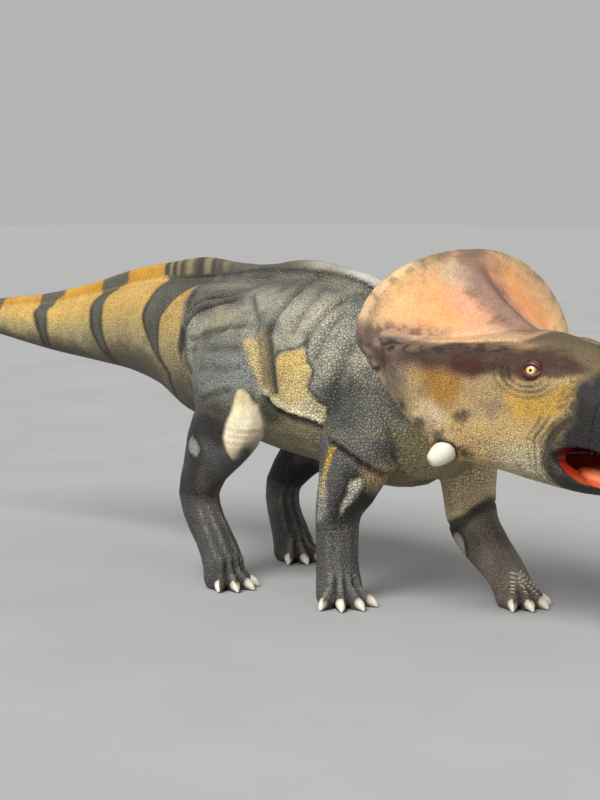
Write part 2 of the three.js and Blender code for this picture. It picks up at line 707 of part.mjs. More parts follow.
function headGroup() {
  const group = new THREE.Group();
  group.position.copy(HEAD_PLACE);
  group.rotation.z = THREE.MathUtils.degToRad(HEAD_YAW_DEG);
  const whole = openHead(0);
  const cutter = openHead(CUT_GROWTH);
  const jaw = whole.intersect(jawWedge(CLEARANCE));
  const skull = whole.subtract(jawWedge(0));
  const tongueSpine = spineOf(TONGUE);
  const tongueWhole = tube(tongueSpine, 0, tongueSpine.length, { steps: TONGUE_RINGS, sides: TONGUE_SIDES });
  const tongue = tongueWhole.subtract(cutter);
  group.add(meshOf("head", skull.subtract(beakWedge(0)), FACE_SKIN));
  group.add(meshOf("upper_beak", skull.intersect(beakWedge(CLEARANCE)), BEAK));
  group.add(meshOf("lower_jaw", jaw.subtract(lowerBeakWedge(0)), FACE_SKIN));
  group.add(meshOf("lower_beak", jaw.intersect(lowerBeakWedge(CLEARANCE)), BEAK));
  group.add(meshOf("tongue", tongue, MOUTH_RED));
  group.add(meshOf("frill", frill(0).subtract(cutter), FRILL_SKIN));
  for (const [name, side] of [["left", 1], ["right", -1]]) {
    group.add(meshOf(`${name}_eye`, eyeBall(side, 0), EYE_GLOSS));
    group.add(meshOf(`${name}_cheek_horn`, cheekHorn(side).subtract(cutter), HORN_WHITE));
  }
  return { group, cutter: joined([cutter, frill(CUT_GROWTH)]) };
}

// Assembly

const statue = new THREE.Group();
const head = headGroup();
statue.add(head.group);
head.group.updateMatrixWorld(true);
const headCutter = head.cutter.transform(head.group.matrixWorld.toArray());

const tailTip = trunkLength(0, TAIL_TIP_END, TRUNK_RINGS.tail_tip);
const tailMiddle = trunkLength(TAIL_TIP_END, TAIL_MIDDLE_END, TRUNK_RINGS.tail_middle);
const tailBase = trunkLength(TAIL_MIDDLE_END, TAIL_BASE_END, TRUNK_RINGS.tail_base);
statue.add(meshOf("tail_tip", tailTip, TAIL_SKIN));
statue.add(meshOf("tail_middle", tailMiddle, TAIL_SKIN));
statue.add(meshOf("tail_base", tailBase, TAIL_SKIN));
statue.add(meshOf("torso", torso, SKIN));
statue.add(meshOf("neck", neckWhole.subtract(headCutter), SKIN));
Object.values(LIMBS).forEach((limb) => statue.add(leg(limb)));

// Sets the finished figure with the middle of its box above the origin.
const box = new THREE.Box3().setFromObject(statue, true);
const centre = box.getCenter(new THREE.Vector3());
const figure = new THREE.Group();
statue.position.set(-centre.x, -centre.y, -box.min.z);
figure.add(statue);

export default figure;
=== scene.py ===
"""Looks of a life-size painted statue of a walking horned dinosaur (Protoceratops).

The statue is a glass-fibre casting with a modelled, pebbly hide under matt paint. Its solids come from the
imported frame: +X runs towards the beak, +Y to the animal's left, +Z up, and the feet stand on z = 0.
Landmarks on the hide are in millimetres, and Blender's meshes are in metres.
"""

import logging
import math
from dataclasses import dataclass
from enum import Enum

import bmesh
import bpy
import numpy as np
from mathutils import Matrix, Vector
from mathutils.bvhtree import BVHTree


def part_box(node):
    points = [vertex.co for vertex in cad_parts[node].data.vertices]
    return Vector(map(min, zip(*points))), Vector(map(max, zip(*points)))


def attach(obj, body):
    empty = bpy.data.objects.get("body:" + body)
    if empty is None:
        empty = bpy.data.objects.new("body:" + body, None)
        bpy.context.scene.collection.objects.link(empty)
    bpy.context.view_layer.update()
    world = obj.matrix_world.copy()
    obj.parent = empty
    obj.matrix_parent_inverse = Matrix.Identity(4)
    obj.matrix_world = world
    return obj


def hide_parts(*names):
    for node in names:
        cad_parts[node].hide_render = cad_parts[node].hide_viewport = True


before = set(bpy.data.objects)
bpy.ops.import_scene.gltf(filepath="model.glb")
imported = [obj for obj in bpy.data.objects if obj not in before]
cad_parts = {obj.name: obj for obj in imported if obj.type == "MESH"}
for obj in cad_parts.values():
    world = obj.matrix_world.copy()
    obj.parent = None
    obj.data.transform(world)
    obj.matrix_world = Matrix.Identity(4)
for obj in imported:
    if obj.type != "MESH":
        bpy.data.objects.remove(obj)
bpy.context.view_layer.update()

LOG = logging.getLogger("statue")
MM = 0.001
BODY = "root"
UP = np.array([0.0, 0.0, 1.0])


# Colours of the paint


class Paint(Enum):
    """Paints of the statue, as sRGB hex codes."""

    GOLD = "#cba65c"
    PALE_GOLD = "#ad9c6c"
    TAIL_UNDER = "#5c523f"
    TAIL_GREY = "#8f866d"
    BAND = "#5a574d"
    OUTLINE = "#1d1b17"
    RIDGE_YELLOW = "#b98a34"
    RIDGE_OLIVE = "#5f5746"
    RIDGE_WHITE = "#d4d5cf"
    HIDE_GREY = "#a19e90"
    HIDE_DARK = "#53524b"
    HIDE_SAND = "#c6bd9b"
    SLATE = "#7f827e"
    SHOULDER_SHADE = "#3f403c"
    BELLY = "#857c5d"
    # Pale throat paint, lightened as painted light where the head shades the throat.
    THROAT = "#a2976f"
    CREASE = "#262420"
    LEG = "#5c5a57"
    LEG_DARK = "#322f2c"
    LEG_BROWN = "#84786a"
    CREAM = "#e9dcba"
    STRAW = "#c9b176"
    OCHRE = "#d4a53c"
    OCHRE_BROWN = "#a87731"
    TAN = "#c4a878"
    SCUTE = "#bab5a4"
    HEEL = "#a2a79b"
    TENDON = "#a3a29d"
    FRILL_ORANGE = "#f2a66a"
    FRILL_PEACH = "#f2ba82"
    FRILL_CREAM = "#dcc293"
    FRILL_PINK = "#cc9878"
    FRILL_BROWN = "#85675a"
    FRILL_BACK = "#8c7a5e"
    RIM_CREAM = "#d9c297"
    TEMPLE = "#452d23"
    OLIVE = "#6a5c44"
    FRILL_EDGE = "#8a7566"
    TEMPLE_RED = "#47200f"
    CHEEK = "#c2a26b"
    CHEEK_GREY = "#8d7c6a"
    CHEEK_PINK = "#dcc29c"
    JAW = "#cbbf9c"
    FOREHEAD = "#64563f"
    MUZZLE = "#2b2926"
    LID_RED = "#4a150c"
    MOUTH_DEEP = "#6b1208"
    MOUTH_RED = "#9c2a16"
    TONGUE_PINK = "#ee8358"
    HORN_WHITE = "#ded7c4"
    HORN_SHADE = "#b9ad94"
    HORN_ROOT = "#7d7263"
    IRIS = "#f4dc8c"
    IRIS_RIM = "#b8741c"
    PUPIL = "#0c0a08"

    @property
    def rgb(self) -> np.ndarray:
        """The paint as linear red, green and blue."""
        return linear(self.value)


def linear(code: str) -> np.ndarray:
    """Turns an sRGB hex code into linear colour.

    Args:
        code: The colour as #rrggbb.

    Returns:
        Linear red, green and blue from 0 to 1.
    """
    srgb = np.array([int(code[place : place + 2], 16) for place in (1, 3, 5)]) / 255
    return np.where(srgb <= 0.04045, srgb / 12.92, ((srgb + 0.055) / 1.055) ** 2.4)


# Shapes of markings and folds


def ramp(low: float, high: float, values: np.ndarray) -> np.ndarray:
    """Rises smoothly from 0 at low to 1 at high.

    Args:
        low: Value at which the ramp starts; above high, the ramp falls.
        high: Value at which it ends.
        values: Where it is read.

    Returns:
        The height of the ramp at each value.
    """
    share = np.clip((values - low) / (high - low), 0, 1)
    return share * share * (3 - 2 * share)


def bell(values: np.ndarray, middle: float, width: float) -> np.ndarray:
    """Rises from 0 to 1 at the middle value and falls again, over about the width on each side."""
    return np.exp(-(((values - middle) / width) ** 2))


Line = tuple[tuple[float, float], ...]


def height_at(line: Line, along: np.ndarray) -> np.ndarray:
    """Heights of a line in side view at places along it."""
    return np.interp(along, *zip(*line))


def place_at(line: Line, height: np.ndarray) -> np.ndarray:
    """Places along a line in side view at given heights."""
    return np.interp(height, *zip(*sorted((up, along) for along, up in line)))


def line_distance(points: np.ndarray, path: np.ndarray) -> np.ndarray:
    """Measures how far points are from an open path.

    Args:
        points: Points, one a row.
        path: Corners of the path, in the same number of dimensions.

    Returns:
        The distance of each point from the nearest place on the path.
    """
    nearest = np.full(len(points), np.inf)
    for start, end in zip(path[:-1], path[1:]):
        run = end - start
        share = np.clip((points - start) @ run / (run @ run), 0, 1)
        gap = np.linalg.norm(points - start - share[:, None] * run, axis=1)
        nearest = np.minimum(nearest, gap)
    return nearest


def outline_depth(points: np.ndarray, outline: np.ndarray) -> np.ndarray:
    """Measures how deep flat points lie inside an outline.

    Args:
        points: Points in a plane.
        outline: Corners of the closed outline.

    Returns:
        Distance from the outline, positive inside it and negative outside.
    """
    closed = np.vstack([outline, outline[:1]])
    inside = np.zeros(len(points), bool)
    for start, end in zip(closed[:-1], closed[1:]):
        crosses = (start[1] > points[:, 1]) != (end[1] > points[:, 1])
        rise = end[1] - start[1] if end[1] != start[1] else 1e-9
        at = start[0] + (points[:, 1] - start[1]) * (end[0] - start[0]) / rise
        inside ^= crosses & (points[:, 0] < at)
    return np.where(inside, 1, -1) * line_distance(points, closed)


class Mottle:
    """Seeded smooth noise in space that breaks up painted edges and tones."""

    SIDE = 32

    def __init__(self, seed: int) -> None:
        """Draws the lattice of the noise from a seed."""
        self.lattice = np.random.default_rng(seed).random((self.SIDE,) * 3)

    def at(self, points: np.ndarray, size: float) -> np.ndarray:
        """Reads the noise.

        Args:
            points: Places in millimetres.
            size: Width of one patch of the noise.

        Returns:
            Values from 0 to 1.
        """
        place = points / size
        corner = np.floor(place).astype(int)
        part = place - corner
        part = part * part * (3 - 2 * part)
        total = np.zeros(len(points))
        for offset in np.ndindex(2, 2, 2):
            weight = np.prod(np.where(offset, part, 1 - part), axis=1)
            total += weight * self.lattice[tuple(((corner + offset) % self.SIDE).T)]
        return total

    def cloud(self, points: np.ndarray, size: float) -> np.ndarray:
        """Adds a finer octave to the noise, from 0 to 1."""
        return 0.65 * self.at(points, size) + 0.35 * self.at(points + 517.0, size * 0.41)


@dataclass(frozen=True)
class Patch:
    """A painted patch, drawn as an outline in side view, with a soft, ragged or dark edge in millimetres."""

    outline: Line
    paint: Paint
    soft: float = 7.0
    ragged: float = 9.0
    strength: float = 1.0
    border: float = 0.0

    def depth(self, side: np.ndarray, mottle: np.ndarray) -> np.ndarray:
        """Depth inside the patch's ragged outline.

        Args:
            side: Points in side view.
            mottle: Noise from 0 to 1 at the points.

        Returns:
            Distance from the outline, positive inside.
        """
        return outline_depth(side, np.array(self.outline, float)) + (mottle - 0.5) * self.ragged * 2


@dataclass(frozen=True)
class Oval:
    """An oval area in side view."""

    centre: tuple[float, float]
    half: tuple[float, float]

    def reach(self, along: np.ndarray, up: np.ndarray) -> np.ndarray:
        """Distances from the centre, as shares of the oval's half sizes: 1 on its edge."""
        return np.hypot((along - self.centre[0]) / self.half[0], (up - self.centre[1]) / self.half[1])


@dataclass(frozen=True)
class Fold:
    """A crease pressed into the hide along a path, with raised lips and dark paint in it that is partly the statue's
    own paint and partly painted shade.

    Depth and width are in millimetres, the lips are a share of the depth, and the shade is from 0 to 1.
    """

    path: tuple[tuple[float, float, float], ...]
    depth: float
    width: float
    lip: float = 0.35
    shade: float = 0.8


@dataclass(frozen=True)
class Band:
    """A dark band round the tail, between a rear and a front edge in side view."""

    rear: Line
    front: Line

    def edges(self, height: np.ndarray) -> tuple[np.ndarray, np.ndarray]:
        """Places along the tail where the band starts and ends at given heights.

        Args:
            height: Heights of the points.

        Returns:
            The rear and the front edge at each height.
        """
        return place_at(self.rear, height), place_at(self.front, height)


def node_box(node: str) -> np.ndarray:
    """Lowest and highest corner of a solid of the frame, in millimetres."""
    return np.array(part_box(node)) / MM


@dataclass(frozen=True)
class HeadFrame:
    """The turned frame of the head, found from the eyes: forward, out to the left, and up."""

    origin: np.ndarray
    forward: np.ndarray
    left: np.ndarray

    EYE_FORWARD = 362.0

    @classmethod
    def from_eyes(cls) -> "HeadFrame":
        """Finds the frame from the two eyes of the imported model.

        Returns:
            The frame of the head.
        """
        left, right = (node_box(side + "_eye").mean(axis=0) for side in ("left", "right"))
        across = (left - right) / np.linalg.norm(left - right)
        forward = np.cross(across, UP)
        middle = (left + right) / 2 * (1, 1, 0)
        return cls(middle - forward * cls.EYE_FORWARD, forward, across)

    def inward(self, points: np.ndarray) -> np.ndarray:
        """Turns points of the statue's frame into the head's frame."""
        moved = points - self.origin
        return np.column_stack([moved @ self.forward, moved @ self.left, points[:, 2]])

    def outward(self, points: np.ndarray) -> np.ndarray:
        """Turns points of the head's frame into the statue's frame."""
        flat = points[:, :1] * self.forward + points[:, 1:2] * self.left + self.origin
        return flat + points[:, 2:] * UP


# Materials


def add(tree: bpy.types.NodeTree, kind: str, **inputs: object) -> bpy.types.Node:
    """Adds a node to a tree.

    Args:
        tree: The node tree.
        kind: The node's type.
        inputs: Properties of the node, and values or links for its sockets, by name with _ for a space,
            or by place, such as i0 for the first.

    Returns:
        The node.
    """
    node = tree.nodes.new(kind)
    for name, value in inputs.items():
        if hasattr(node, name):
            setattr(node, name, value)
            continue
        place = int(name[1:]) if name[1:].isdigit() else name.replace("_", " ")
        socket = node.inputs[place]
        if isinstance(value, bpy.types.NodeSocket):
            tree.links.new(value, socket)
        else:
            socket.default_value = value
    return node


def blank(name: str) -> tuple[bpy.types.Material, bpy.types.NodeTree, bpy.types.NodeSocket]:
    """Starts a material with an empty node tree.

    Args:
        name: Name of the material.

    Returns:
        The material, its tree, and the socket with the piece's own coordinates.
    """
    material = bpy.data.materials.new(name)
    material.use_nodes = True
    tree = material.node_tree
    tree.nodes.clear()
    return material, tree, add(tree, "ShaderNodeTexCoord").outputs["Object"]


@dataclass(frozen=True)
class HideFinish:
    """Matt paint over a modelled pebbly hide: rounded scales with thin dark creases between them, painted darker in the
    creases and lighter on the tops, partly as dark wash and partly as painted shade and highlight.

    The relief is a share of a scale's width, and the groove attribute says how marked the scales are.
    """

    name: str
    fine: float
    coarse: float
    relief: float
    roughness: float = 0.56
    wet_roughness: float = 0.16
    wet_relief: float = 0.05
    specular: float = 0.35
    warp_scale: float = 60.0
    warp: float = 0.006
    randomness: float = 0.85
    crease_width: float = 0.15
    crease_tone: float = 0.2
    dome_width: float = 0.75
    top_tone: float = 1.05
    tones: tuple[float, float] = (0.9, 1.1)

    def make(self) -> bpy.types.Material:
        """Builds the material from the hide's paint, grain, groove, brush and wet attributes.

        Returns:
            The material.
        """
        material, tree, where = blank(self.name)
        paint = add(tree, "ShaderNodeAttribute", attribute_name="paint").outputs["Color"]
        grain, groove, brush, wet = (
            add(tree, "ShaderNodeAttribute", attribute_name=tag).outputs["Fac"]
            for tag in ("grain", "groove", "brush", "wet")
        )
        warp = add(tree, "ShaderNodeTexNoise", Vector=where, Scale=self.warp_scale, Detail=2.0).outputs["Color"]
        bent = add(tree, "ShaderNodeMix", data_type="VECTOR", i0=self.warp, i4=where, i5=warp).outputs[1]
        edges, cells, domes = [], [], []
        for size in (self.fine, self.coarse):
            grid = {"Vector": bent, "Scale": 1 / (size * MM), "Randomness": self.randomness}
            edges.append(add(tree, "ShaderNodeTexVoronoi", feature="DISTANCE_TO_EDGE", **grid).outputs[0])
            cell = add(tree, "ShaderNodeTexVoronoi", **grid).outputs
            cells.append(cell["Color"])
            domes.append(cell["Distance"])
        edge, cell, away = (
            add(tree, "ShaderNodeMix", i0=grain, i2=fine, i3=coarse).outputs[0]
            for fine, coarse in (edges, cells, domes)
        )
        smooth = {"interpolation_type": "SMOOTHSTEP", "i1": 0.0}
        top = add(tree, "ShaderNodeMapRange", Value=edge, i2=self.crease_width, **smooth).outputs[0]
        dome = add(tree, "ShaderNodeMapRange", Value=away, i2=self.dome_width, i3=1.0, i4=0.0, **smooth).outputs[0]
        # Darker into the creases and a little lighter on the scale tops: partly the statue's dark wash, partly painted
        # shade and painted highlight.
        floor = add(tree, "ShaderNodeMapRange", Value=groove, i3=1.0, i4=self.crease_tone).outputs[0]
        deep = add(tree, "ShaderNodeMix", i0=top, i2=floor, i3=self.top_tone).outputs[0]
        dull, bright = self.tones
        tone = add(tree, "ShaderNodeMapRange", Value=cell, i1=0.2, i2=0.8, i3=dull, i4=bright).outputs[0]
        shade = add(tree, "ShaderNodeMath", operation="MULTIPLY", i0=deep, i1=tone).outputs[0]
        toned = add(tree, "ShaderNodeMix", data_type="RGBA", blend_type="MULTIPLY", i0=1.0, i6=paint, i7=shade)
        swept = add(tree, "ShaderNodeMath", operation="MULTIPLY", i0=dome, i1=brush).outputs[0]
        pale = add(tree, "ShaderNodeMix", data_type="RGBA", i0=swept, i6=toned.outputs[2],
                   i7=(*Paint.CREAM.rgb, 1)).outputs[2]
        rough = add(tree, "ShaderNodeMapRange", Value=wet, i3=self.roughness, i4=self.wet_roughness).outputs[0]
        dry = add(tree, "ShaderNodeMapRange", Value=wet, i3=1.0, i4=self.wet_relief).outputs[0]
        height = add(tree, "ShaderNodeMapRange", Value=grain, i3=self.relief * self.fine * MM,
                     i4=self.relief * self.coarse * MM).outputs[0]
        rise = add(tree, "ShaderNodeMath", operation="MULTIPLY_ADD", i0=top, i1=0.5, i2=dome).outputs[0]
        lift = add(tree, "ShaderNodeMath", operation="MULTIPLY", i0=rise, i1=groove).outputs[0]
        bump = add(tree, "ShaderNodeBump", Strength=dry, Distance=height, Height=lift)
        shader = add(tree, "ShaderNodeBsdfPrincipled", Base_Color=pale, Roughness=rough,
                     Normal=bump.outputs[0], Specular_IOR_Level=self.specular)
        add(tree, "ShaderNodeOutputMaterial", Surface=shader.outputs[0])
        return material


@dataclass(frozen=True)
class HornFinish:
    """Painted horn: smooth, slightly glossy, with fine growth lines that catch the light."""

    name: str
    roughness: float
    line_spacing: float
    relief: float
    coat: float = 0.0

    def make(self) -> bpy.types.Material:
        """Builds the material from the piece's paint attribute.

        Returns:
            The material.
        """
        material, tree, where = blank(self.name)
        paint = add(tree, "ShaderNodeAttribute", attribute_name="paint").outputs["Color"]
        lines = add(tree, "ShaderNodeTexNoise", Vector=where, Scale=1 / (self.line_spacing * MM), Detail=4.0)
        shade = add(tree, "ShaderNodeMapRange", Value=lines.outputs[0], i1=0.3, i2=0.7, i3=0.84, i4=1.1)
        toned = add(tree, "ShaderNodeMix", data_type="RGBA", blend_type="MULTIPLY", i0=1.0, i6=paint,
                    i7=shade.outputs[0])
        bump = add(tree, "ShaderNodeBump", Strength=0.5, Distance=self.relief * MM, Height=lines.outputs[0])
        shader = add(tree, "ShaderNodeBsdfPrincipled", Base_Color=toned.outputs[2], Roughness=self.roughness,
                     Normal=bump.outputs[0], Coat_Weight=self.coat, Coat_Roughness=0.05)
        add(tree, "ShaderNodeOutputMaterial", Surface=shader.outputs[0])
        return material


@dataclass(frozen=True)
class FloorFinish:
    """Pale studio floor with a faint trowelled cloudiness."""

    name: str
    pale: str
    dark: str

    def make(self) -> bpy.types.Material:
        """Builds the floor's material.

        Returns:
            The material.
        """
        material, tree, where = blank(self.name)
        cloud = add(tree, "ShaderNodeTexNoise", Vector=where, Scale=2.2, Detail=6.0).outputs[0]
        share = add(tree, "ShaderNodeMapRange", Value=cloud, i1=0.35, i2=0.65).outputs[0]
        colour = add(tree, "ShaderNodeMix", data_type="RGBA", i0=share, i6=(*linear(self.dark), 1),
                     i7=(*linear(self.pale), 1))
        shader = add(tree, "ShaderNodeBsdfPrincipled", Base_Color=colour.outputs[2], Roughness=0.8)
        add(tree, "ShaderNodeOutputMaterial", Surface=shader.outputs[0])
        return material


# Meshes as arrays


def linked(name: str, data: bpy.types.ID) -> bpy.types.Object:
    """Makes an object from its data and links it to the scene.

    Args:
        name: Name of the object.
        data: Its mesh, light or camera.

    Returns:
        The object.
    """
    made = bpy.data.objects.new(name, data)
    bpy.context.scene.collection.objects.link(made)
    return made


def solid_tree(nodes: tuple[str, ...]) -> tuple[BVHTree, list[int]]:
    """Gathers solids of the frame for tests of nearness and of sight.

    Args:
        nodes: Names of the solids.

    Returns:
        The search tree, and for each of its faces the place in nodes of the solid that it belongs to.
    """
    places: list[Vector] = []
    faces: list[tuple[int, ...]] = []
    owner: list[int] = []
    for index, node in enumerate(nodes):
        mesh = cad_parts[node].data
        first = len(places)
        places += [vertex.co for vertex in mesh.vertices]
        faces += [tuple(first + corner for corner in face.vertices) for face in mesh.polygons]
        owner += [index] * len(mesh.polygons)
    return BVHTree.FromPolygons(places, faces), owner


class Shell:
    """A mesh object held as arrays in millimetres, so that it can be shaped and painted by rule."""

    WELD = 0.01
    RELAX_STEPS = (1.0, -1.04)
    LIP_AT = 2.0
    LIP_WIDTH = 0.8
    BORDER_COVER = 0.85

    def __init__(self, name: str, mesh: bpy.types.Mesh) -> None:
        """Links a new object with the mesh and reads its arrays.

        Args:
            name: Name of the object.
            mesh: Its mesh, in metres.
        """
        self.name = name
        self.object = linked(name, mesh)
        self.read()

    @classmethod
    def grown(cls, name: str, nodes: tuple[str, ...], voxel: float, swell: float) -> "Shell":
        """Grows one closed shell over solids of the frame.

        Args:
            name: Name of the new piece.
            nodes: Solids that the shell covers.
            voxel: Width of the shell's faces in millimetres.
            swell: How far each solid is swelled, so that neighbours fuse.

        Returns:
            The shell.
        """
        bm = bmesh.new()
        for node in nodes:
            bm.from_mesh(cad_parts[node].data)
        bmesh.ops.remove_doubles(bm, verts=bm.verts, dist=cls.WELD * MM)
        bm.normal_update()
        for vertex in bm.verts:
            vertex.co += vertex.normal * swell * MM
        mesh = bpy.data.meshes.new(name)
        bm.to_mesh(mesh)
        bm.free()
        rough = linked(name + "_rough", mesh)
        remesh = rough.modifiers.new("grow", "REMESH")
        remesh.mode = "VOXEL"
        remesh.voxel_size = voxel * MM
        made = bpy.data.meshes.new_from_object(rough.evaluated_get(bpy.context.evaluated_depsgraph_get()))
        bpy.data.objects.remove(rough)
        bpy.data.meshes.remove(mesh)
        return cls(name, made)

    @classmethod
    def drawn(cls, name: str, points: np.ndarray, faces: list[tuple[int, ...]]) -> "Shell":
        """Makes a shell from points and faces.

        Args:
            name: Name of the new piece.
            points: Its points in millimetres.
            faces: Corners of each face.

        Returns:
            The shell.
        """
        mesh = bpy.data.meshes.new(name)
        mesh.from_pydata((points * MM).tolist(), [], faces)
        mesh.update()
        return cls(name, mesh)

    def read(self) -> None:
        """Reads the mesh into arrays of points, triangles and neighbours."""
        mesh = self.object.data
        places = np.empty(len(mesh.vertices) * 3)
        mesh.vertices.foreach_get("co", places)
        self.points = places.reshape(-1, 3) / MM
        mesh.calc_loop_triangles()
        triangles = np.empty(len(mesh.loop_triangles) * 3, int)
        mesh.loop_triangles.foreach_get("vertices", triangles)
        self.triangles = triangles.reshape(-1, 3)
        edges = np.empty(len(mesh.edges) * 2, int)
        mesh.edges.foreach_get("vertices", edges)
        both = np.vstack([edges.reshape(-1, 2), edges.reshape(-1, 2)[:, ::-1]])
        both = both[np.argsort(both[:, 0], kind="stable")]
        self.neighbours = both[:, 1]
        self.counts = np.bincount(both[:, 0], minlength=len(self.points))
        self.starts = np.concatenate([[0], np.cumsum(self.counts)[:-1]])
        self.colour = np.zeros_like(self.points)
        self.tags: dict[str, np.ndarray] = {}

    def normals(self) -> np.ndarray:
        """Finds the way that the shell faces.

        Returns:
            Unit normals of the vertices.
        """
        a, b, c = (self.points[self.triangles[:, corner]] for corner in range(3))
        face = np.cross(b - a, c - a)
        total = np.zeros_like(self.points)
        for axis in range(3):
            for corner in range(3):
                total[:, axis] += np.bincount(self.triangles[:, corner], face[:, axis], len(total))
        return total / np.maximum(np.linalg.norm(total, axis=1, keepdims=True), 1e-9)

    def spread(self, values: np.ndarray, times: int) -> np.ndarray:
        """Averages values with those of neighbouring vertices.

        Args:
            values: One value or row a vertex.
            times: How many rings the values spread.

        Returns:
            The softened values.
        """
        for _ in range(times):
            around = np.add.reduceat(values[self.neighbours], self.starts, axis=0)
            share = self.counts if values.ndim == 1 else self.counts[:, None]
            values = 0.5 * values + 0.5 * around / share
        return values

    def relax(self, times: int, share: np.ndarray | float = 1.0) -> None:
        """Smooths the shell without shrinking it.

        Args:
            times: Number of passes.
            share: How much each vertex takes part, from 0 to 1.
        """
        weight = np.broadcast_to(share, len(self.points))[:, None]
        for _ in range(times):
            for push in self.RELAX_STEPS:
                self.points = self.points + push * weight * (self.spread(self.points, 1) - self.points)

    def push(self, height: np.ndarray) -> None:
        """Moves the vertices along their normals by heights in millimetres."""
        self.points = self.points + self.normals() * height[:, None]

    def crease(self, fold: Fold, points: np.ndarray) -> np.ndarray:
        """Presses a fold into the shell.

        Args:
            fold: The fold.
            points: The vertices as the fold sees them, such as all on one side.

        Returns:
            How strongly each vertex lies in the fold, from 0 to 1.
        """
        gap = line_distance(points, np.array(fold.path, float)) / fold.width
        valley = np.exp(-gap * gap)
        lips = np.exp(-((gap - self.LIP_AT) ** 2) / self.LIP_WIDTH)
        self.push(fold.depth * (fold.lip * lips - valley))
        return valley * fold.shade

    def lay(self, paint: Paint, cover: np.ndarray | float = 1.0) -> None:
        """Lays a coat of paint as thick as cover, from 0 to 1, over the vertices."""
        self.colour = self.colour + (paint.rgb - self.colour) * np.clip(cover, 0, 1)[..., None]

    def patch(self, patch: Patch, side: np.ndarray, mottle: np.ndarray, where: np.ndarray | float = 1.0) -> None:
        """Paints a patch and its dark border.

        Args:
            patch: The patch.
            side: The vertices in side view.
            mottle: Noise that makes its edge ragged.
            where: Where the patch may show, from 0 to 1.
        """
        depth = patch.depth(side, mottle)
        if patch.border:
            self.lay(Paint.OUTLINE, where * self.BORDER_COVER * bell(depth, 0, patch.border))
            depth = depth - patch.border
        self.lay(patch.paint, where * patch.strength * ramp(-patch.soft, patch.soft, depth))

    def finish(self, material: bpy.types.Material, nodes: tuple[str, ...], slot: str) -> None:
        """Writes the arrays to the mesh, dresses it and ties it to the frame.

        Args:
            material: The finish of the piece.
            nodes: Solids that the piece stands for.
            slot: Material slot of the piece; not used.
        """
        mesh = self.object.data
        mesh.vertices.foreach_set("co", (self.points * MM).ravel())
        paint = mesh.attributes.new("paint", "FLOAT_COLOR", "POINT")
        paint.data.foreach_set("color", np.column_stack([self.colour, np.ones(len(self.points))]).ravel())
        for tag, values in self.tags.items():
            mesh.attributes.new(tag, "FLOAT", "POINT").data.foreach_set("value", values.astype(np.float32))
        mesh.shade_smooth()
        mesh.update()
        mesh.materials.clear()
        mesh.materials.append(material)
        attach(self.object, BODY)
        if nodes:
            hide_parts(*nodes)
        LOG.info("%s: %d triangles", self.name, len(self.triangles))

    def homes(self, nodes: tuple[str, ...]) -> dict[str, np.ndarray]:
        """Finds which solid of the frame each vertex came from.

        Args:
            nodes: Solids under the shell.

        Returns:
            For each solid, 1 at the vertices that are nearest to it and 0 elsewhere.
        """
        tree, owner = solid_tree(nodes)
        found = np.array([owner[tree.find_nearest(point)[2]] for point in (self.points * MM).tolist()])
        return {node: (found == index).astype(float) for index, node in enumerate(nodes)}


class Hide:
    """A closed, painted skin over several solids, with its size of faces, swell and seed."""

    voxel: float
    swell: float
    seed: int

    def grow(self, name: str, nodes: tuple[str, ...]) -> None:
        """Grows the skin and starts its noise.

        Args:
            name: Name of the piece.
            nodes: Solids that the skin covers.
        """
        self.skin = Shell.grown(name, nodes, self.voxel, self.swell)
        self.home = self.skin.homes(nodes)
        self.mottle = Mottle(self.seed)

    def part(self, *nodes: str, soft: int = 6) -> np.ndarray:
        """Where the skin lies over the named solids, from 0 to 1, with a soft edge."""
        return self.skin.spread(sum(self.home[node] for node in nodes), soft)

    def cloud(self, shift: float, size: float) -> np.ndarray:
        """Noise over the skin from 0 to 1, in patches of a size; the shift sets one noise apart from others."""
        return self.mottle.cloud(self.skin.points + shift, size)


# The body: lines and outlines are (forward, up) in side view, folds are (forward, left, up) on the right side


TAIL_BANDS = (
    Band(rear=((-1040, 590), (-1050, 560)), front=((-1008, 590), (-1018, 560))),
    Band(rear=((-906, 612), (-916, 575), (-906, 530)), front=((-852, 612), (-866, 575), (-872, 525))),
    Band(
        rear=((-741, 625), (-740, 610), (-750, 586), (-731, 556), (-717, 522), (-713, 490)),
        front=((-666, 625), (-689, 611), (-699, 588), (-690, 554), (-688, 523), (-690, 490)),
    ),
    Band(
        rear=((-543, 660), (-544, 646), (-543, 612), (-531, 576), (-523, 546), (-501, 509), (-473, 472)),
        front=((-456, 660), (-483, 647), (-489, 615), (-484, 578), (-478, 541), (-467, 503), (-460, 471)),
    ),
    Band(
        rear=((-330, 690), (-310, 660), (-307, 629), (-315, 589), (-301, 564), (-254, 509), (-181, 461)),
        front=((-150, 690), (-168, 665), (-204, 626), (-231, 590), (-229, 554), (-222, 504), (-173, 461)),
    ),
)

TAIL_EDGE = ((-190, 700), (-168, 665), (-144, 618), (-134, 587), (-122, 560), (-112, 525), (-100, 491),
             (-75, 458), (-40, 430), (20, 380))
HIP_WEDGE = Patch(((-130, 574), (-105, 565), (-104, 527), (-113, 491), (-129, 525)), Paint.OUTLINE,
                  soft=5, ragged=2, strength=0.9)

RIDGE_FOOT = ((-1129, 585), (-882, 585), (-717, 596), (-557, 626), (-407, 658), (-324, 674), (-196, 681), (-87, 692),
              (-15, 702), (128, 703), (204, 699), (278, 687), (329, 670), (373, 646), (463, 600), (553, 580))
UNDERSIDE = ((-300, 440), (-100, 420), (100, 410), (200, 430), (372, 378), (480, 372), (560, 400), (700, 430))
TAIL_DEPTH = ((-1129, 14), (-717, 113), (-557, 166), (-277, 268), (-137, 330), (20, 360))

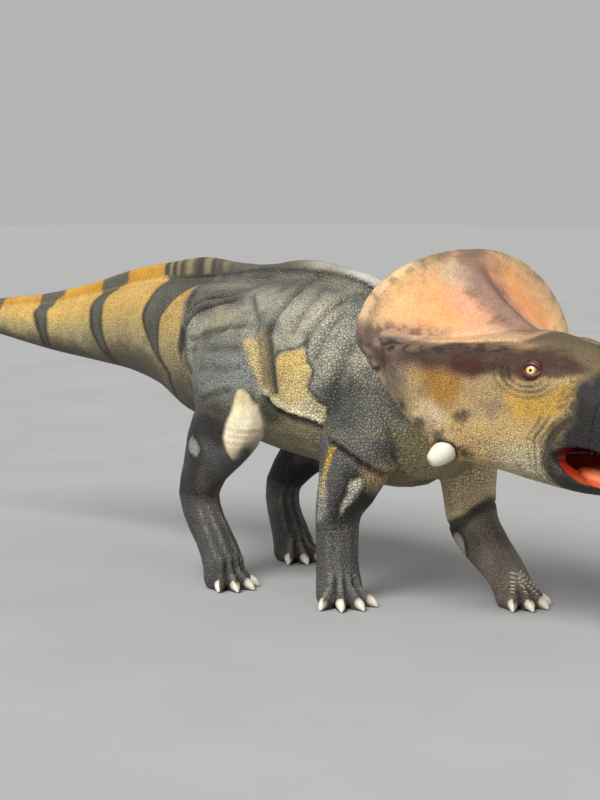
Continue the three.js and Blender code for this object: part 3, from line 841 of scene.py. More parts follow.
HIP_FOLDS = (
    Fold(((-115, -137, 604), (-108, -124, 624), (-84, -111, 636), (-49, -105, 641), (-8, -102, 644)), 8, 5, shade=1.0),
    Fold(((-112, -152, 576), (-101, -143, 598), (-78, -134, 614), (-43, -128, 623), (13, -119, 634)), 9, 6, shade=1.0),
    Fold(((-77, -168, 544), (-11, -186, 565), (44, -191, 574), (91, -175, 585)), 5, 7, shade=0.6),
    Fold(((-72, -172, 515), (46, -220, 532), (118, -215, 537)), 5, 9, shade=0.5),
    Fold(((19, -233, 489), (83, -243, 490), (130, -232, 495)), 3, 9, shade=0.3),
    Fold(((43, -255, 424), (91, -255, 438), (124, -249, 448)), 4, 7, shade=0.6),
)
FLANK_FOLDS = (
    Fold(((64, -114, 648), (103, -146, 625), (132, -167, 602), (148, -183, 575)), 5, 5, shade=0.7),
    Fold(((155, -188, 565), (166, -197, 536), (178, -204, 510), (185, -206, 483), (193, -209, 451)), 4, 4, shade=0.55),
    Fold(((175, -180, 579), (193, -194, 543), (207, -204, 501), (217, -206, 468), (226, -207, 447)), 10, 10,
         lip=0.1, shade=0.9),
    Fold(((167, -11, 689), (191, -97, 661), (189, -140, 631), (182, -165, 604), (180, -184, 573)), 6, 7, shade=0.6),
    Fold(((232, -40, 680), (250, -110, 645), (248, -150, 610), (245, -175, 580)), 4, 7, shade=0.4),
    Fold(((309, -79, 645), (300, -128, 619), (293, -157, 592), (285, -171, 571), (291, -182, 548)), 6, 7, shade=0.55),
    Fold(((338, -111, 617), (328, -145, 590), (324, -168, 558), (321, -182, 525)), 5, 7, shade=0.45),
    Fold(((408, -110, 580), (385, -150, 540), (372, -183, 458), (375, -194, 420)), 6, 12, shade=0.6),
)


@dataclass(frozen=True)
class Flap:
    """A fold of skin that hangs over what lies below a line in side view."""

    line: Line
    reach: tuple[float, float, float, float]
    overhang: float
    undercut: float

    FADE = 38.0
    CUT = (-12.0, 9.0)
    SHADE = (-9.0, 6.0)

    def over(self, points: np.ndarray) -> np.ndarray:
        """Heights of points above the flap's edge."""
        return points[:, 2] - height_at(self.line, points[:, 0])

    def along(self, points: np.ndarray) -> np.ndarray:
        """How much of the flap there is at each point along it, from 0 to 1."""
        start, full, last, end = self.reach
        return ramp(start, full, points[:, 0]) * ramp(end, last, points[:, 0])


BELLY_FLAP = Flap(((185, 447), (205, 440), (228, 420), (258, 408), (295, 400), (330, 393), (372, 368)),
                  reach=(180, 205, 358, 385), overhang=12, undercut=10)
CHEST_FLAP = Flap(((365, 385), (383, 363), (434, 341), (466, 321), (487, 298), (497, 285)),
                  reach=(355, 372, 480, 500), overhang=15, undercut=11)

STRIP = Patch(
    ((118, 558), (157, 563), (154, 578), (170, 580), (190, 537), (207, 492), (224, 447), (202, 438), (184, 457),
     (172, 481), (154, 505), (138, 529)),
    Paint.STRAW, soft=5, ragged=4,
)
STRIP_SHADE = Patch(((152, 578), (170, 580), (190, 537), (207, 492), (224, 447), (208, 438), (196, 466), (184, 506),
                     (163, 551)), Paint.RIDGE_OLIVE, soft=8, ragged=5, strength=0.7)
FLANK = Patch(
    ((215, 499), (216, 517), (227, 536), (248, 543), (273, 547), (282, 559), (296, 536), (301, 521),
     (318, 498), (317, 483), (309, 467), (333, 444), (360, 424), (368, 396), (372, 366), (330, 390),
     (295, 397), (258, 405), (228, 417), (205, 437), (226, 450)),
    Paint.STRAW, soft=5, ragged=6, border=4,
)
KNEE = Patch(
    ((142, 450), (136, 432), (130, 406), (114, 372), (107, 347), (106, 316), (110, 289), (128, 306), (152, 330),
     (182, 358), (184, 385), (176, 412), (166, 438), (153, 455)),
    Paint.CREAM, soft=6, ragged=3, border=3,
)
LEFT_KNEE = (-46, -24)
KNEE_NODES = ("right_thigh", "right_shank", "left_thigh", "left_shank")
CRACKED = Patch(
    ((461, 291), (463, 273), (446, 237), (404, 191), (390, 184), (400, 215), (418, 246), (432, 280)),
    Paint.SCUTE, soft=4, ragged=4, border=6,
)
REAR_SCUTES = Patch(((340, 280), (340, 180), (362, 195), (374, 216), (374, 262)), Paint.SCUTE,
                    soft=8, ragged=12, strength=0.55)
SHOULDER = Oval((390, 415), (75, 95))
NAPE = Oval((450, 430), (75, 85))
# Oval of painted shade in the groin, where the thigh meets the belly.
GROIN_SHADE = Oval((205, 405), (42, 38))
RIBS = Oval((15, 597), (95, 36))
HIP = Oval((-45, 632), (125, 48))
LEFT_ARM_LINE = ((470, 150), (533, 180), (561, 205), (580, 228))


class Limb(Enum):
    """The four legs by their solids from the trunk down."""

    RIGHT_HIND = ("right_thigh", "right_shank", "right_foot")
    LEFT_HIND = ("left_thigh", "left_shank", "left_foot")
    RIGHT_FORE = ("right_upper_arm", "right_forearm", "right_hand")
    LEFT_FORE = ("left_upper_arm", "left_forearm", "left_hand")


@dataclass(frozen=True)
class Foot:
    """Where a foot stands and how its toes fan out from its centre, in millimetres and degrees."""

    limb: Limb
    centre: tuple[float, float]
    facing: float
    reach: float
    tendons: float
    scute_tone: float

    TOES = (-50.0, -19.0, 11.0, 44.0)

    @property
    def node(self) -> str:
        """Name of the foot's solid."""
        return self.limb.value[2]

    def polar(self, points: np.ndarray, centre: np.ndarray | None = None) -> tuple[np.ndarray, np.ndarray]:
        """Reads points in plan view from the foot's centre.

        Args:
            points: Points in the statue's frame.
            centre: A centre for each point, where the leg leans.

        Returns:
            Distances, and angles from the way the foot faces, in degrees from -180 to 180.
        """
        flat = points[:, :2] - (np.array(self.centre) if centre is None else centre)
        turn = np.degrees(np.arctan2(flat[:, 1], flat[:, 0])) - self.facing
        return np.hypot(flat[:, 0], flat[:, 1]), (turn + 180) % 360 - 180


FEET = (
    Foot(Limb.RIGHT_HIND, (64.9, -209.2), facing=-4, reach=82, tendons=0.65, scute_tone=0.3),
    Foot(Limb.LEFT_HIND, (-44.1, 134.9), facing=-6, reach=88, tendons=0.65, scute_tone=0.3),
    Foot(Limb.RIGHT_FORE, (377.9, -172.2), facing=-26, reach=92, tendons=0.3, scute_tone=0.4),
    Foot(Limb.LEFT_FORE, (658.9, 71.9), facing=-5, reach=82, tendons=0.5, scute_tone=0.95),
)
TAIL_NODES = ("tail_tip", "tail_middle", "tail_base")
TRUNK_NODES = TAIL_NODES + ("torso", "neck")
LIMB_NODES = tuple(node for limb in Limb for node in limb.value)
LOWER_LEG_NODES = tuple(node for limb in Limb for node in limb.value[1:])
FOOT_NODES = tuple(limb.value[2] for limb in Limb)


@dataclass
class BodyHide(Hide):
    """Hide of the tail, trunk, neck and legs, as one closed skin."""

    voxel: float = 5.45
    swell: float = 0.6
    heel_radius: float = 26.0
    heel_draw: float = 0.22
    ridge_end: tuple[float, float] = (395.0, 462.0)
    neck_end: tuple[float, float] = (570.0, 655.0)
    neck_axis: tuple[float, float, float] = (0.0, -10.0, 440.0)
    neck_draw: float = 0.55
    throat: Line = ((530.0, 270.0), (663.0, 420.0))
    throat_lift: float = 0.85
    knee_top: tuple[float, float] = (150.0, 425.0)
    knee_lift: float = 4.0
    wrinkle_height: float = 1.2
    wrinkle_spacing: float = 15.0
    toe_gap: float = 9.5
    toe_gap_width: float = 5.0
    knuckle: float = 3.5
    knuckle_width: float = 10.0
    toe_joint: float = 0.9
    toe_joint_spacing: float = 11.0
    tendon_deg: float = 30.5
    fine_mottle: float = 24.0
    broad_mottle: float = 95.0
    seed: int = 11

    def build(self, finish: HideFinish) -> Shell:
        """Grows, folds and paints the skin.

        Args:
            finish: The hide's finish.

        Returns:
            The finished piece.
        """
        nodes = TRUNK_NODES + LIMB_NODES
        self.grow("body_hide", nodes)
        self.smooth()
        creases = self.fold()
        self.paint(creases)
        self.skin.finish(finish.make(), nodes, "body_skin")
        return self.skin

    def smooth(self) -> None:
        """Rounds off the facets, and blends the legs into the trunk."""
        feet = self.part(*FOOT_NODES, soft=4)
        self.skin.relax(6, 1 - 0.6 * feet)
        trunk = self.part(*TRUNK_NODES, soft=10)
        self.end_ridge()
        self.round_neck()
        x, _, z = self.skin.points.T
        crest = ramp(-30, -12, z - height_at(RIDGE_FOOT, x)) * ramp(440, 400, x)
        joint = ramp(0.02, 0.4, 4 * trunk * (1 - trunk)) * (1 - crest)
        self.skin.relax(24, joint)
        for limb in Limb:
            for above, below in zip(limb.value[:-1], limb.value[1:]):
                share = self.part(above, soft=5) * self.part(below, soft=5)
                self.skin.relax(8, ramp(0.01, 0.15, share))

    def end_ridge(self) -> None:
        """Lets the ridge along the back run out at the nape."""
        x, y, z = self.skin.points.T
        over = np.maximum(z - height_at(RIDGE_FOOT, x), 0) * ramp(60, 45, np.abs(y))
        sunk = over * ramp(*self.ridge_end, x)
        self.skin.points = self.skin.points - sunk[:, None] * UP

    def round_neck(self) -> None:
        """Draws in the front of the neck on the left, where the turned head leaves it bare."""
        points = self.skin.points
        end = ramp(*self.neck_end, points[:, 0]) * ramp(-30, 40, points[:, 1]) * self.part("neck", soft=3)
        towards = (np.array(self.neck_axis) - points) * (0, 1, 1)
        points = points + self.neck_draw * (end * end)[:, None] * towards
        neck = self.part("neck", soft=3) * ramp(-90, -30, points[:, 1])
        low = np.maximum(height_at(self.throat, points[:, 0]) - points[:, 2], 0) * neck
        self.skin.points = points + self.throat_lift * low[:, None] * UP
        self.skin.relax(60, np.maximum(end, neck * ramp(540, 580, points[:, 0])))

    def knee_side(self) -> np.ndarray:
        """The skin in side view, with the left hind leg brought over the right one."""
        return self.skin.points[:, [0, 2]] - (self.skin.points[:, 1:2] > 0) * np.array(LEFT_KNEE)

    def fold(self) -> np.ndarray:
        """Presses the folds, flaps and wrinkles into the skin.

        Returns:
            How darkly each vertex is painted in the folds, the toe gaps and under the flaps, from 0 to 1, partly as
            dark paint and partly as painted shade.
        """
        skin = self.skin
        near = skin.points * (1, 0, 1) - np.abs(skin.points) * (0, 1, 0)
        creases = np.zeros(len(near))
        for fold in HIP_FOLDS + FLANK_FOLDS:
            creases = np.maximum(creases, skin.crease(fold, near))
        near_arm = self.part("right_upper_arm", "torso", "neck", soft=3) * ramp(-60, -100, skin.points[:, 1])
        for flap, where in ((BELLY_FLAP, self.part("torso", soft=3)), (CHEST_FLAP, near_arm)):
            over = flap.over(skin.points)
            along = flap.along(skin.points) * where
            hang = np.where(over > -2, np.exp(-np.maximum(over, 0) / flap.FADE), 0)
            skin.push(along * (flap.overhang * hang - flap.undercut * bell(over, *flap.CUT)))
            # Painted shadow under the hanging flap, strongest towards its rear.
            shade = along * bell(over, *flap.SHADE) * (0.6 + 0.4 * ramp(330, 250, skin.points[:, 0]))
            creases = np.maximum(creases, shade)
        side = self.knee_side()
        knee = ramp(-4, 18, KNEE.depth(side, np.full(len(near), 0.5))) * self.part(*KNEE_NODES)
        drop = np.hypot((side[:, 0] - self.knee_top[0]) * 0.9, side[:, 1] - self.knee_top[1])
        wave = np.cos(drop / self.wrinkle_spacing * math.tau) * ramp(46, 60, drop) * ramp(112, 100, drop)
        skin.push(knee * (self.knee_lift + self.wrinkle_height * wave))
        self.wrinkles = knee * ramp(-0.3, -1.0, wave)
        x, _, z = skin.points.T
        bend = z - height_at(LEFT_ARM_LINE, x)
        arm = self.part("left_upper_arm", "left_forearm", soft=3)
        skin.push(-4 * arm * bell(bend, 0, 7))
        creases = np.maximum(creases, 0.8 * arm * bell(bend, 0, 6))
        creases = np.maximum(skin.spread(creases, 1), self.shape_feet())
        skin.points = np.maximum(skin.points, (-np.inf, -np.inf, 0))
        return creases

    def shape_feet(self) -> np.ndarray:
        """Carves the gaps between the toes, and raises their knuckles and the tendons above them.

        Returns:
            How darkly each vertex is painted as shade in the gaps between the toes and the grooves between the tendons,
            from 0 to 1.
        """
        skin = self.skin
        gaps = np.zeros(len(skin.points))
        self.tendons = np.zeros(len(skin.points))
        for foot in FEET:
            sole = self.part(foot.node, soft=3)
            z = skin.points[:, 2]
            away, turn = foot.polar(skin.points)
            low = sole * ramp(26, 42, away)
            for start, end in zip(foot.TOES[:-1], foot.TOES[1:]):
                off = np.radians(turn - (start + end) / 2) * away
                gap = low * ramp(84, 52, z) * bell(off, 0, self.toe_gap_width)
                skin.push(-self.toe_gap * gap)
                # Painted shade in the gap between two toes.
                gaps = np.maximum(gaps, 0.85 * gap)
            for toe in foot.TOES:
                off = np.radians(turn - toe) * away
                knuckle = bell(off, 0, self.knuckle_width) * bell(away, 0.5 * foot.reach, self.knuckle_width)
                skin.push(self.knuckle * sole * knuckle)
                joint = np.cos((away - 0.5 * foot.reach) / self.toe_joint_spacing * math.tau)
                skin.push(self.toe_joint * low * joint * bell(off, 0, 9) * ramp(60, 40, z))
            leg = self.part(*foot.limb.value[1:], soft=3)
            centre = self.leg_centre(leg)
            away, turn = foot.polar(skin.points, centre)
            front = leg * ramp(75, 50, np.abs(turn)) * ramp(60, 85, z) * ramp(205, 140, z) * foot.tendons
            wave = np.cos((turn - foot.TOES[1]) / self.tendon_deg * math.tau)
            skin.push(front * wave)
            self.tendons = np.maximum(self.tendons, front * ramp(0.1, 0.9, wave))
            # Painted shade in the grooves between the tendons.
            gaps = np.maximum(gaps, 0.3 * front * ramp(-0.3, -0.95, wave))
            self.round_heel(foot, sole)
        return gaps

    def round_heel(self, foot: Foot, sole: np.ndarray) -> None:
        """Draws in the lowest edge of the heel, so that the pad meets the ground in a curve.

        Args:
            foot: The foot.
            sole: Where the skin belongs to it, from 0 to 1.
        """
        skin = self.skin
        turn = foot.polar(skin.points)[1]
        down = np.clip(1 - skin.points[:, 2] / self.heel_radius, 0, 1)
        pull = (1 - np.sqrt(1 - down * down)) * self.heel_draw * sole * ramp(55, 100, np.abs(turn))
        flat = (np.array(foot.centre) - skin.points[:, :2]) * pull[:, None]
        skin.points = skin.points + np.column_stack([flat, np.zeros(len(flat))])

    def leg_centre(self, leg: np.ndarray) -> np.ndarray:
        """Finds the middle of a leg, in plan view, at the height of each vertex.

        Args:
            leg: Where the skin belongs to the leg, from 0 to 1.

        Returns:
            A place in plan view for each vertex.
        """
        mine = self.skin.points[leg > 0.5]
        levels = np.arange(20, 240, 20.0)
        slices = [mine[np.abs(mine[:, 2] - level) < 12] for level in levels]
        middles = np.array([(part.min(axis=0) + part.max(axis=0))[:2] / 2 if len(part) else (np.nan, np.nan)
                            for part in slices])
        known = ~np.isnan(middles[:, 0])
        height = self.skin.points[:, 2]
        return np.column_stack([np.interp(height, levels[known], middles[known, axis]) for axis in (0, 1)])

    def paint(self, creases: np.ndarray) -> None:
        """Paints the grey hide, the banded tail, the flank patches and the legs.

        Args:
            creases: How darkly each vertex is painted in the folds, the toe gaps and under the flaps, from 0 to 1,
                partly as dark paint and partly as painted shade.
        """
        skin = self.skin
        x, _, z = skin.points.T
        side = skin.points[:, [0, 2]]
        self.fine = fine = self.cloud(0, self.fine_mottle)
        self.broad = broad = self.cloud(90, self.broad_mottle)
        self.paint_trunk()
        self.paint_tail()
        self.paint_ridge()
        self.paint_hips()
        hide = self.part("torso", "right_thigh", "left_thigh", soft=2)
        skin.patch(STRIP, side, fine, hide)
        skin.patch(STRIP_SHADE, side, fine, 0.85 * hide)
        skin.patch(FLANK, side, fine, hide)
        within = ramp(4, 12, FLANK.depth(side, fine)) * hide
        skin.lay(Paint.OCHRE, 0.4 * within * ramp(470, 530, z + 40 * (broad - 0.5)))
        skin.lay(Paint.HIDE_SAND, 0.8 * within * ramp(0.1, 0.9, (x - 255) / 110 + (455 - z) / 90 + (broad - 0.5)))
        over = BELLY_FLAP.over(skin.points)
        edge = BELLY_FLAP.along(skin.points) * self.part("torso", soft=2)
        skin.lay(Paint.CREAM, 0.8 * edge * bell(over, 7, 9))
        # Painted shade in the groin, where the thigh meets the belly below the flap.
        groin_shade = GROIN_SHADE.reach(x, z) + 0.4 * (fine - 0.5)
        skin.lay(Paint.LEG_DARK, 0.85 * ramp(1.2, 0.4, groin_shade) * ramp(0, -8, over) * self.part("torso", soft=2))
        self.paint_legs()
        skin.lay(Paint.TAN, 0.5 * self.wrinkles)
        legs = self.part(*LOWER_LEG_NODES, soft=4)
        # Painted shade spread softly round the folds, off the lower legs; then near black in the creases, the toe gaps
        # and under the flaps, partly as the statue's dark paint and partly as painted shade.
        skin.lay(Paint.HIDE_DARK, 0.5 * skin.spread(creases, 8) * (1 - legs))
        skin.lay(Paint.CREASE, creases)
        lit = 0.82 + 0.36 * self.cloud(40, 40)
        skin.colour = skin.colour * lit[:, None]
        toes = self.part(*FOOT_NODES, soft=3)
        arms = self.part("right_upper_arm", "right_forearm", "left_upper_arm", "neck", soft=8)
        shoulder = self.part("torso", soft=8) * ramp(240, 330, x)
        skin.tags["grain"] = np.clip(arms + shoulder, 0, 1) * (1 - toes)
        knee = self.part(*KNEE_NODES) * ramp(-8, 4, KNEE.depth(self.knee_side(), fine))
        sandy = self.part("torso", "right_thigh", "left_thigh", soft=8) * ramp(500, 570, z) * ramp(0.3, 0.65, broad)
        skin.tags["brush"] = 0.12 * sandy * (1 - knee) * (1 - creases)
        tail = self.part(*TAIL_NODES, soft=8)
        ridge = ramp(0, 8, z - height_at(RIDGE_FOOT, x))
        skin.tags["groove"] = (0.85 - 0.25 * tail) * (1 - 0.92 * knee) * (1 - 0.75 * ridge)
        skin.tags["wet"] = 0.35 * knee

    def paint_trunk(self) -> None:
        """Paints the torso and neck grey, sandy on the ribs, dark on the shoulder and olive beneath."""
        skin = self.skin
        fine, broad = self.fine, self.broad
        x, _, z = skin.points.T
        skin.lay(Paint.HIDE_GREY)
        skin.lay(Paint.HIDE_SAND, 0.4 * ramp(0.4, 0.75, broad))
        skin.lay(Paint.HIDE_DARK, 0.7 * ramp(0.5, 0.8, self.cloud(300, 60)))
        back = height_at(RIDGE_FOOT, x)
        skin.lay(Paint.HIDE_DARK, 0.7 * ramp(70, 8, back - z + 30 * (fine - 0.5)))
        shoulder = SHOULDER.reach(x, z) + 0.5 * (fine - 0.5)
        skin.lay(Paint.SHOULDER_SHADE, 0.9 * ramp(1.25, 0.5, shoulder))
        nape = NAPE.reach(x, z) + 0.5 * (fine - 0.5)
        skin.lay(Paint.HIDE_DARK, 0.6 * ramp(1.2, 0.5, nape))
        skin.lay(Paint.BELLY, ramp(14, -14, z - height_at(UNDERSIDE, x) + 26 * (fine - 0.5)))
        # Pale throat paint, lightened as painted light where the head shades the throat.
        skin.lay(Paint.THROAT, 0.85 * ramp(470, 560, x) * ramp(455, 370, z + 40 * (broad - 0.5)))

    def paint_tail(self) -> None:
        """Paints the tail gold above, sandy at the sides and brown beneath, with dark bands round it."""
        skin = self.skin
        fine, broad = self.fine, self.broad
        x, _, z = skin.points.T
        trunk = self.part(*TRUNK_NODES, soft=2)
        tail = trunk * ramp(4, -6, x - place_at(TAIL_EDGE, z))
        back = height_at(RIDGE_FOOT, x)
        level = (back - z) / height_at(TAIL_DEPTH, x) + 0.22 * (broad - 0.5)
        skin.lay(Paint.GOLD, tail)
        skin.lay(Paint.PALE_GOLD, tail * 0.9 * ramp(0.22, 0.5, level))
        skin.lay(Paint.TAIL_GREY, tail * 0.7 * ramp(0.45, 0.75, level + 0.3 * (fine - 0.5)))
        skin.lay(Paint.TAIL_UNDER, 0.9 * tail * ramp(0.5, 0.85, level + 0.2 * (fine - 0.5)))
        skin.lay(Paint.LEG_DARK, tail * 0.6 * ramp(0.8, 1.0, level))
        for band in TAIL_BANDS:
            rear, front = band.edges(z + 6 * (fine - 0.5))
            inside = ramp(-2, 5, x - rear) * ramp(-2, 5, front - x)
            skin.lay(Paint.BAND, trunk * inside)
            skin.lay(Paint.OUTLINE, trunk * 0.9 * bell(x - rear, 3, 7) * ramp(0.02, 0.25, level))
            skin.lay(Paint.OUTLINE, trunk * 0.8 * bell(x - front, -2, 6) * ramp(0.1, 0.3, level))
        skin.patch(HIP_WEDGE, skin.points[:, [0, 2]], fine, trunk)

    def paint_ridge(self) -> None:
        """Paints the ridge along the back, yellow over the tail, then streaked grey, then pale at the nape, with a dark
        line of painted shadow along the foot of its grey stretch.
        """
        skin = self.skin
        x, y, z = skin.points.T
        ridge = ramp(2, 10, z - height_at(RIDGE_FOOT, x))
        streak = self.mottle.at(np.column_stack([x, x * 0, x * 0]), 13)
        skin.lay(Paint.RIDGE_YELLOW, ridge * ramp(-328, -338, x))
        for band in TAIL_BANDS[:-1]:
            rear, front = band.edges(z)
            skin.lay(Paint.BAND, ridge * ramp(-3, 3, x - rear) * ramp(-3, 3, front - x))
        grey = ridge * ramp(-338, -328, x)
        skin.lay(Paint.RIDGE_OLIVE, grey)
        rear = ramp(-60, -190, x)
        skin.lay(Paint.LEG_DARK, 0.7 * grey * ramp(0.4, 0.7, streak) * rear)
        skin.lay(Paint.PALE_GOLD, 0.4 * grey * ramp(0.5, 0.25, streak) * rear)
        skin.lay(Paint.HIDE_DARK, 0.3 * grey * ramp(-200, -80, x) * ramp(190, 60, x))
        skin.lay(Paint.HIDE_GREY, 0.7 * grey * ramp(60, 190, x))
        skin.lay(Paint.RIDGE_WHITE, 0.45 * grey * ramp(210, 300, x))
        # Painted shadow along the foot of the ridge, where it is grey.
        foot = bell(z - height_at(RIDGE_FOOT, x), 1, 5)
        skin.lay(Paint.CREASE, 0.7 * foot * ramp(-330, -250, x) * ramp(45, 25, np.abs(y)))

    def paint_hips(self) -> None:
        """Paints the haunches from dark folds and sandy ribs down to slate grey and near black."""
        skin = self.skin
        fine, broad = self.fine, self.broad
        x, y, z = skin.points.T
        haunch = self.part("right_thigh", "left_thigh", soft=16)
        skin.lay(Paint.HIDE_DARK, 0.5 * haunch * ramp(650, 570, z))
        sandy = RIBS.reach(x, z) + 0.6 * (fine - 0.5)
        hip = HIP.reach(x, z) + 0.5 * (fine - 0.5)
        skin.lay(Paint.HIDE_DARK, 0.9 * ramp(1.2, 0.5, hip) * ramp(50, 90, np.abs(y)))
        skin.lay(Paint.HIDE_SAND, 0.5 * ramp(1.2, 0.4, sandy) * ramp(80, 120, np.abs(y)))
        streak = self.mottle.cloud(skin.points * (1, 1, 0.3), 16)
        skin.lay(Paint.SLATE, (0.35 + 0.5 * ramp(0.4, 0.65, streak)) * haunch * ramp(560, 515, z) * ramp(420, 470, z))
        skin.lay(Paint.LEG_DARK, haunch * ramp(455, 380, z + 50 * (broad - 0.5) + 0.25 * (x - 60)))
        behind = x - place_at(TAIL_EDGE, z)
        skin.lay(Paint.OUTLINE, 0.75 * bell(behind, 12, 14) * ramp(430, 470, z) * ramp(690, 640, z))

    def paint_legs(self) -> None:
        """Paints the legs near black with their pale patches, and the toes with pale streaks that are partly a painted
        highlight.
        """
        skin = self.skin
        fine, broad = self.fine, self.broad
        x, y, z = skin.points.T
        side = skin.points[:, [0, 2]]
        legs = self.part(*LOWER_LEG_NODES, soft=5)
        skin.lay(Paint.LEG_DARK, legs)
        skin.lay(Paint.LEG, legs * ramp(0.35, 0.7, broad))
        skin.lay(Paint.OUTLINE, 0.85 * self.part(*Limb.LEFT_HIND.value[1:], soft=5))
        skin.lay(Paint.LEG_BROWN, 0.5 * legs * ramp(0.55, 0.8, self.cloud(1500, 70)))
        feet = self.part(*FOOT_NODES, soft=4)
        skin.lay(Paint.LEG, 0.6 * feet)
        skin.lay(Paint.TENDON, 0.55 * self.tendons * (0.4 + 0.6 * ramp(0.3, 0.6, fine)))
        for foot in FEET:
            away, turn = foot.polar(skin.points)
            for toe in foot.TOES:
                off = np.radians(turn - toe) * away
                # Pale along the top of each toe: partly streaks of the statue's paint, partly a painted highlight.
                top = bell(off, 0, 6) * ramp(26, 40, away) * ramp(85, 60, z) * self.part(foot.node, soft=3)
                skin.lay(Paint.TENDON, 0.55 * top * ramp(0.3, 0.6, fine))
        hind = self.part(*KNEE_NODES, soft=3)
        leg = self.knee_side()
        skin.patch(KNEE, leg, fine, hind)
        inside = hind * ramp(0, 8, KNEE.depth(leg, fine))
        skin.lay(Paint.STRAW, 0.85 * inside * ramp(395, 440, leg[:, 1]))
        skin.lay(Paint.TAN, 0.7 * inside * ramp(325, 290, leg[:, 1]))
        heel = np.hypot(np.hypot(leg[:, 0] - 14, (np.abs(y) - 250) * 0.8), (leg[:, 1] - 316) * 0.8) + 22 * (fine - 0.5)
        skin.lay(Paint.OUTLINE, 0.7 * bell(heel, 21, 5))
        skin.lay(Paint.HEEL, 0.9 * ramp(22, 15, heel))
        arm = self.part("right_upper_arm", soft=3)
        skin.lay(Paint.LEG, 0.9 * arm * ramp(400, 350, z))
        fore = self.part("right_upper_arm", "right_forearm", soft=3) * ramp(-150, -175, y)
        socket = ramp(34, 8, -CRACKED.depth(side, fine))
        skin.lay(Paint.LEG_DARK, 0.7 * fore * socket)
        skin.patch(CRACKED, side, fine, fore)
        skin.patch(REAR_SCUTES, side, fine, fore)
        front = np.hypot(np.hypot(x - 475, (y + 150) * 0.6), (z - 285) * 0.7)
        skin.lay(Paint.TAN, 0.7 * arm * ramp(40, 15, front + 14 * (fine - 0.5)))
        path = np.array([(396, -203, 360), (381, -205, 328), (366, -206, 282), (352, -204, 240)], float)
        strip = line_distance(skin.points, path) + 8 * (fine - 0.5)
        skin.lay(Paint.OCHRE, 0.9 * ramp(10, 4, strip) * ramp(270, 310, z))
        skin.lay(Paint.STRAW, 0.6 * ramp(14, 6, strip) * ramp(330, 280, z))
        self.paint_left_arm()

    def paint_left_arm(self) -> None:
        """Paints the left arm tan above a dark line, made paler with cream as painted light, brown-grey below it, with
        a pale elbow.
        """
        skin = self.skin
        fine, broad = self.fine, self.broad
        x, y, z = skin.points.T
        arm = self.part("left_upper_arm", "left_forearm", soft=12) * ramp(380, 290, z + 60 * (broad - 0.5))
        hand = self.part("left_hand", soft=3)
        line = z - height_at(LEFT_ARM_LINE, x) + 10 * (fine - 0.5)
        skin.lay(Paint.LEG_BROWN, arm + hand)
        skin.lay(Paint.LEG_DARK, 0.5 * (arm + hand) * ramp(0.5, 0.75, broad))
        skin.lay(Paint.TAN, arm * ramp(0, 8, line))
        # Cream over the tan: the arm's pale paint, made paler as painted light where the head shades the arm.
        skin.lay(Paint.CREAM, (0.3 + 0.3 * ramp(0.4, 0.7, broad)) * arm * ramp(0, 8, line))
        skin.lay(Paint.LEG_DARK, 0.85 * arm * bell(line, -14, 14))
        elbow = np.hypot(np.hypot(x - 514, (y - 70) * 0.7), (z - 114) * 0.75) + 8 * (fine - 0.5)
        skin.lay(Paint.OUTLINE, 0.9 * arm * bell(elbow, 25, 6))
        skin.lay(Paint.SCUTE, 0.85 * arm * ramp(24, 17, elbow))


# The head: lines and outlines are (forward, up), or (forward, out, up), in the head's own frame


EYE_HEIGHT = 534.0
RIM = ((-20, 262, 615), (10, 262, 600), (36, 218, 590), (86, 180, 581), (140, 176, 578), (195, 144, 581),
       (236, 114, 584), (271, 84, 586), (320, 70, 575))
TEMPLE = Patch(((40, 588), (86, 579), (140, 576), (195, 579), (256, 580), (310, 574), (350, 560), (352, 540),
                (310, 530), (263, 515), (215, 532), (150, 536), (80, 532), (40, 540)),
               Paint.TEMPLE, soft=14, ragged=14, strength=0.95)
TEMPLE_RED = Patch(((215, 565), (270, 560), (285, 530), (262, 515), (225, 535)), Paint.TEMPLE_RED,
                   soft=12, ragged=10)
OCHRES = (
    Patch(((160, 548), (215, 533), (247, 520), (243, 492), (218, 452), (196, 458), (176, 505)),
          Paint.OCHRE_BROWN, soft=18, ragged=10, strength=0.95),
    Patch(((312, 492), (350, 486), (402, 480), (440, 516), (446, 500), (408, 448), (372, 436), (336, 440)),
          Paint.OCHRE, soft=16, ragged=10, strength=0.85),
)
CHEEK_SPOTS = ((242, 440, 12), (159, 420, 14), (199, 397, 13), (222, 372, 12), (240, 367, 10), (120, 455, 12))
FRILL_SPOTS = ((0, 241, 640, 15), (4, 262, 612, 13), (0, 196, 702, 12), (30, 73, 732, 16), (20, 130, 722, 12),
               (88, 36, 667, 18), (159, 33, 615, 14), (6, 215, 668, 9), (14, 42, 742, 15))
CHEEK_HORN = ((205, 168, 386), (192, 228, 347))
BROW = Oval((352, 544), (66, 32))
CHEEK_HOLLOW = Oval((290, 492), (52, 34))
EYE_TRAIL = Oval((402, 536), (42, 14))
FRILL_FACE = Oval((0, 560), (278, 193))
FRILL_PALE = Oval((-62, 712), (42, 34))
SNOUT_EDGE = ((402, 300), (412, 400), (446, 440), (448, 500), (470, 560))
MOUTH_RING = ((440, 446), (412, 425), (396, 398), (386, 366), (384, 338), (394, 312), (420, 296))
GAPE = ((394, 358, 374), (408, 343, 384), (436, 326, 391), (480, 316, 388), (520, 320, 378), (560, 338, 364),
        (610, 346, 356))


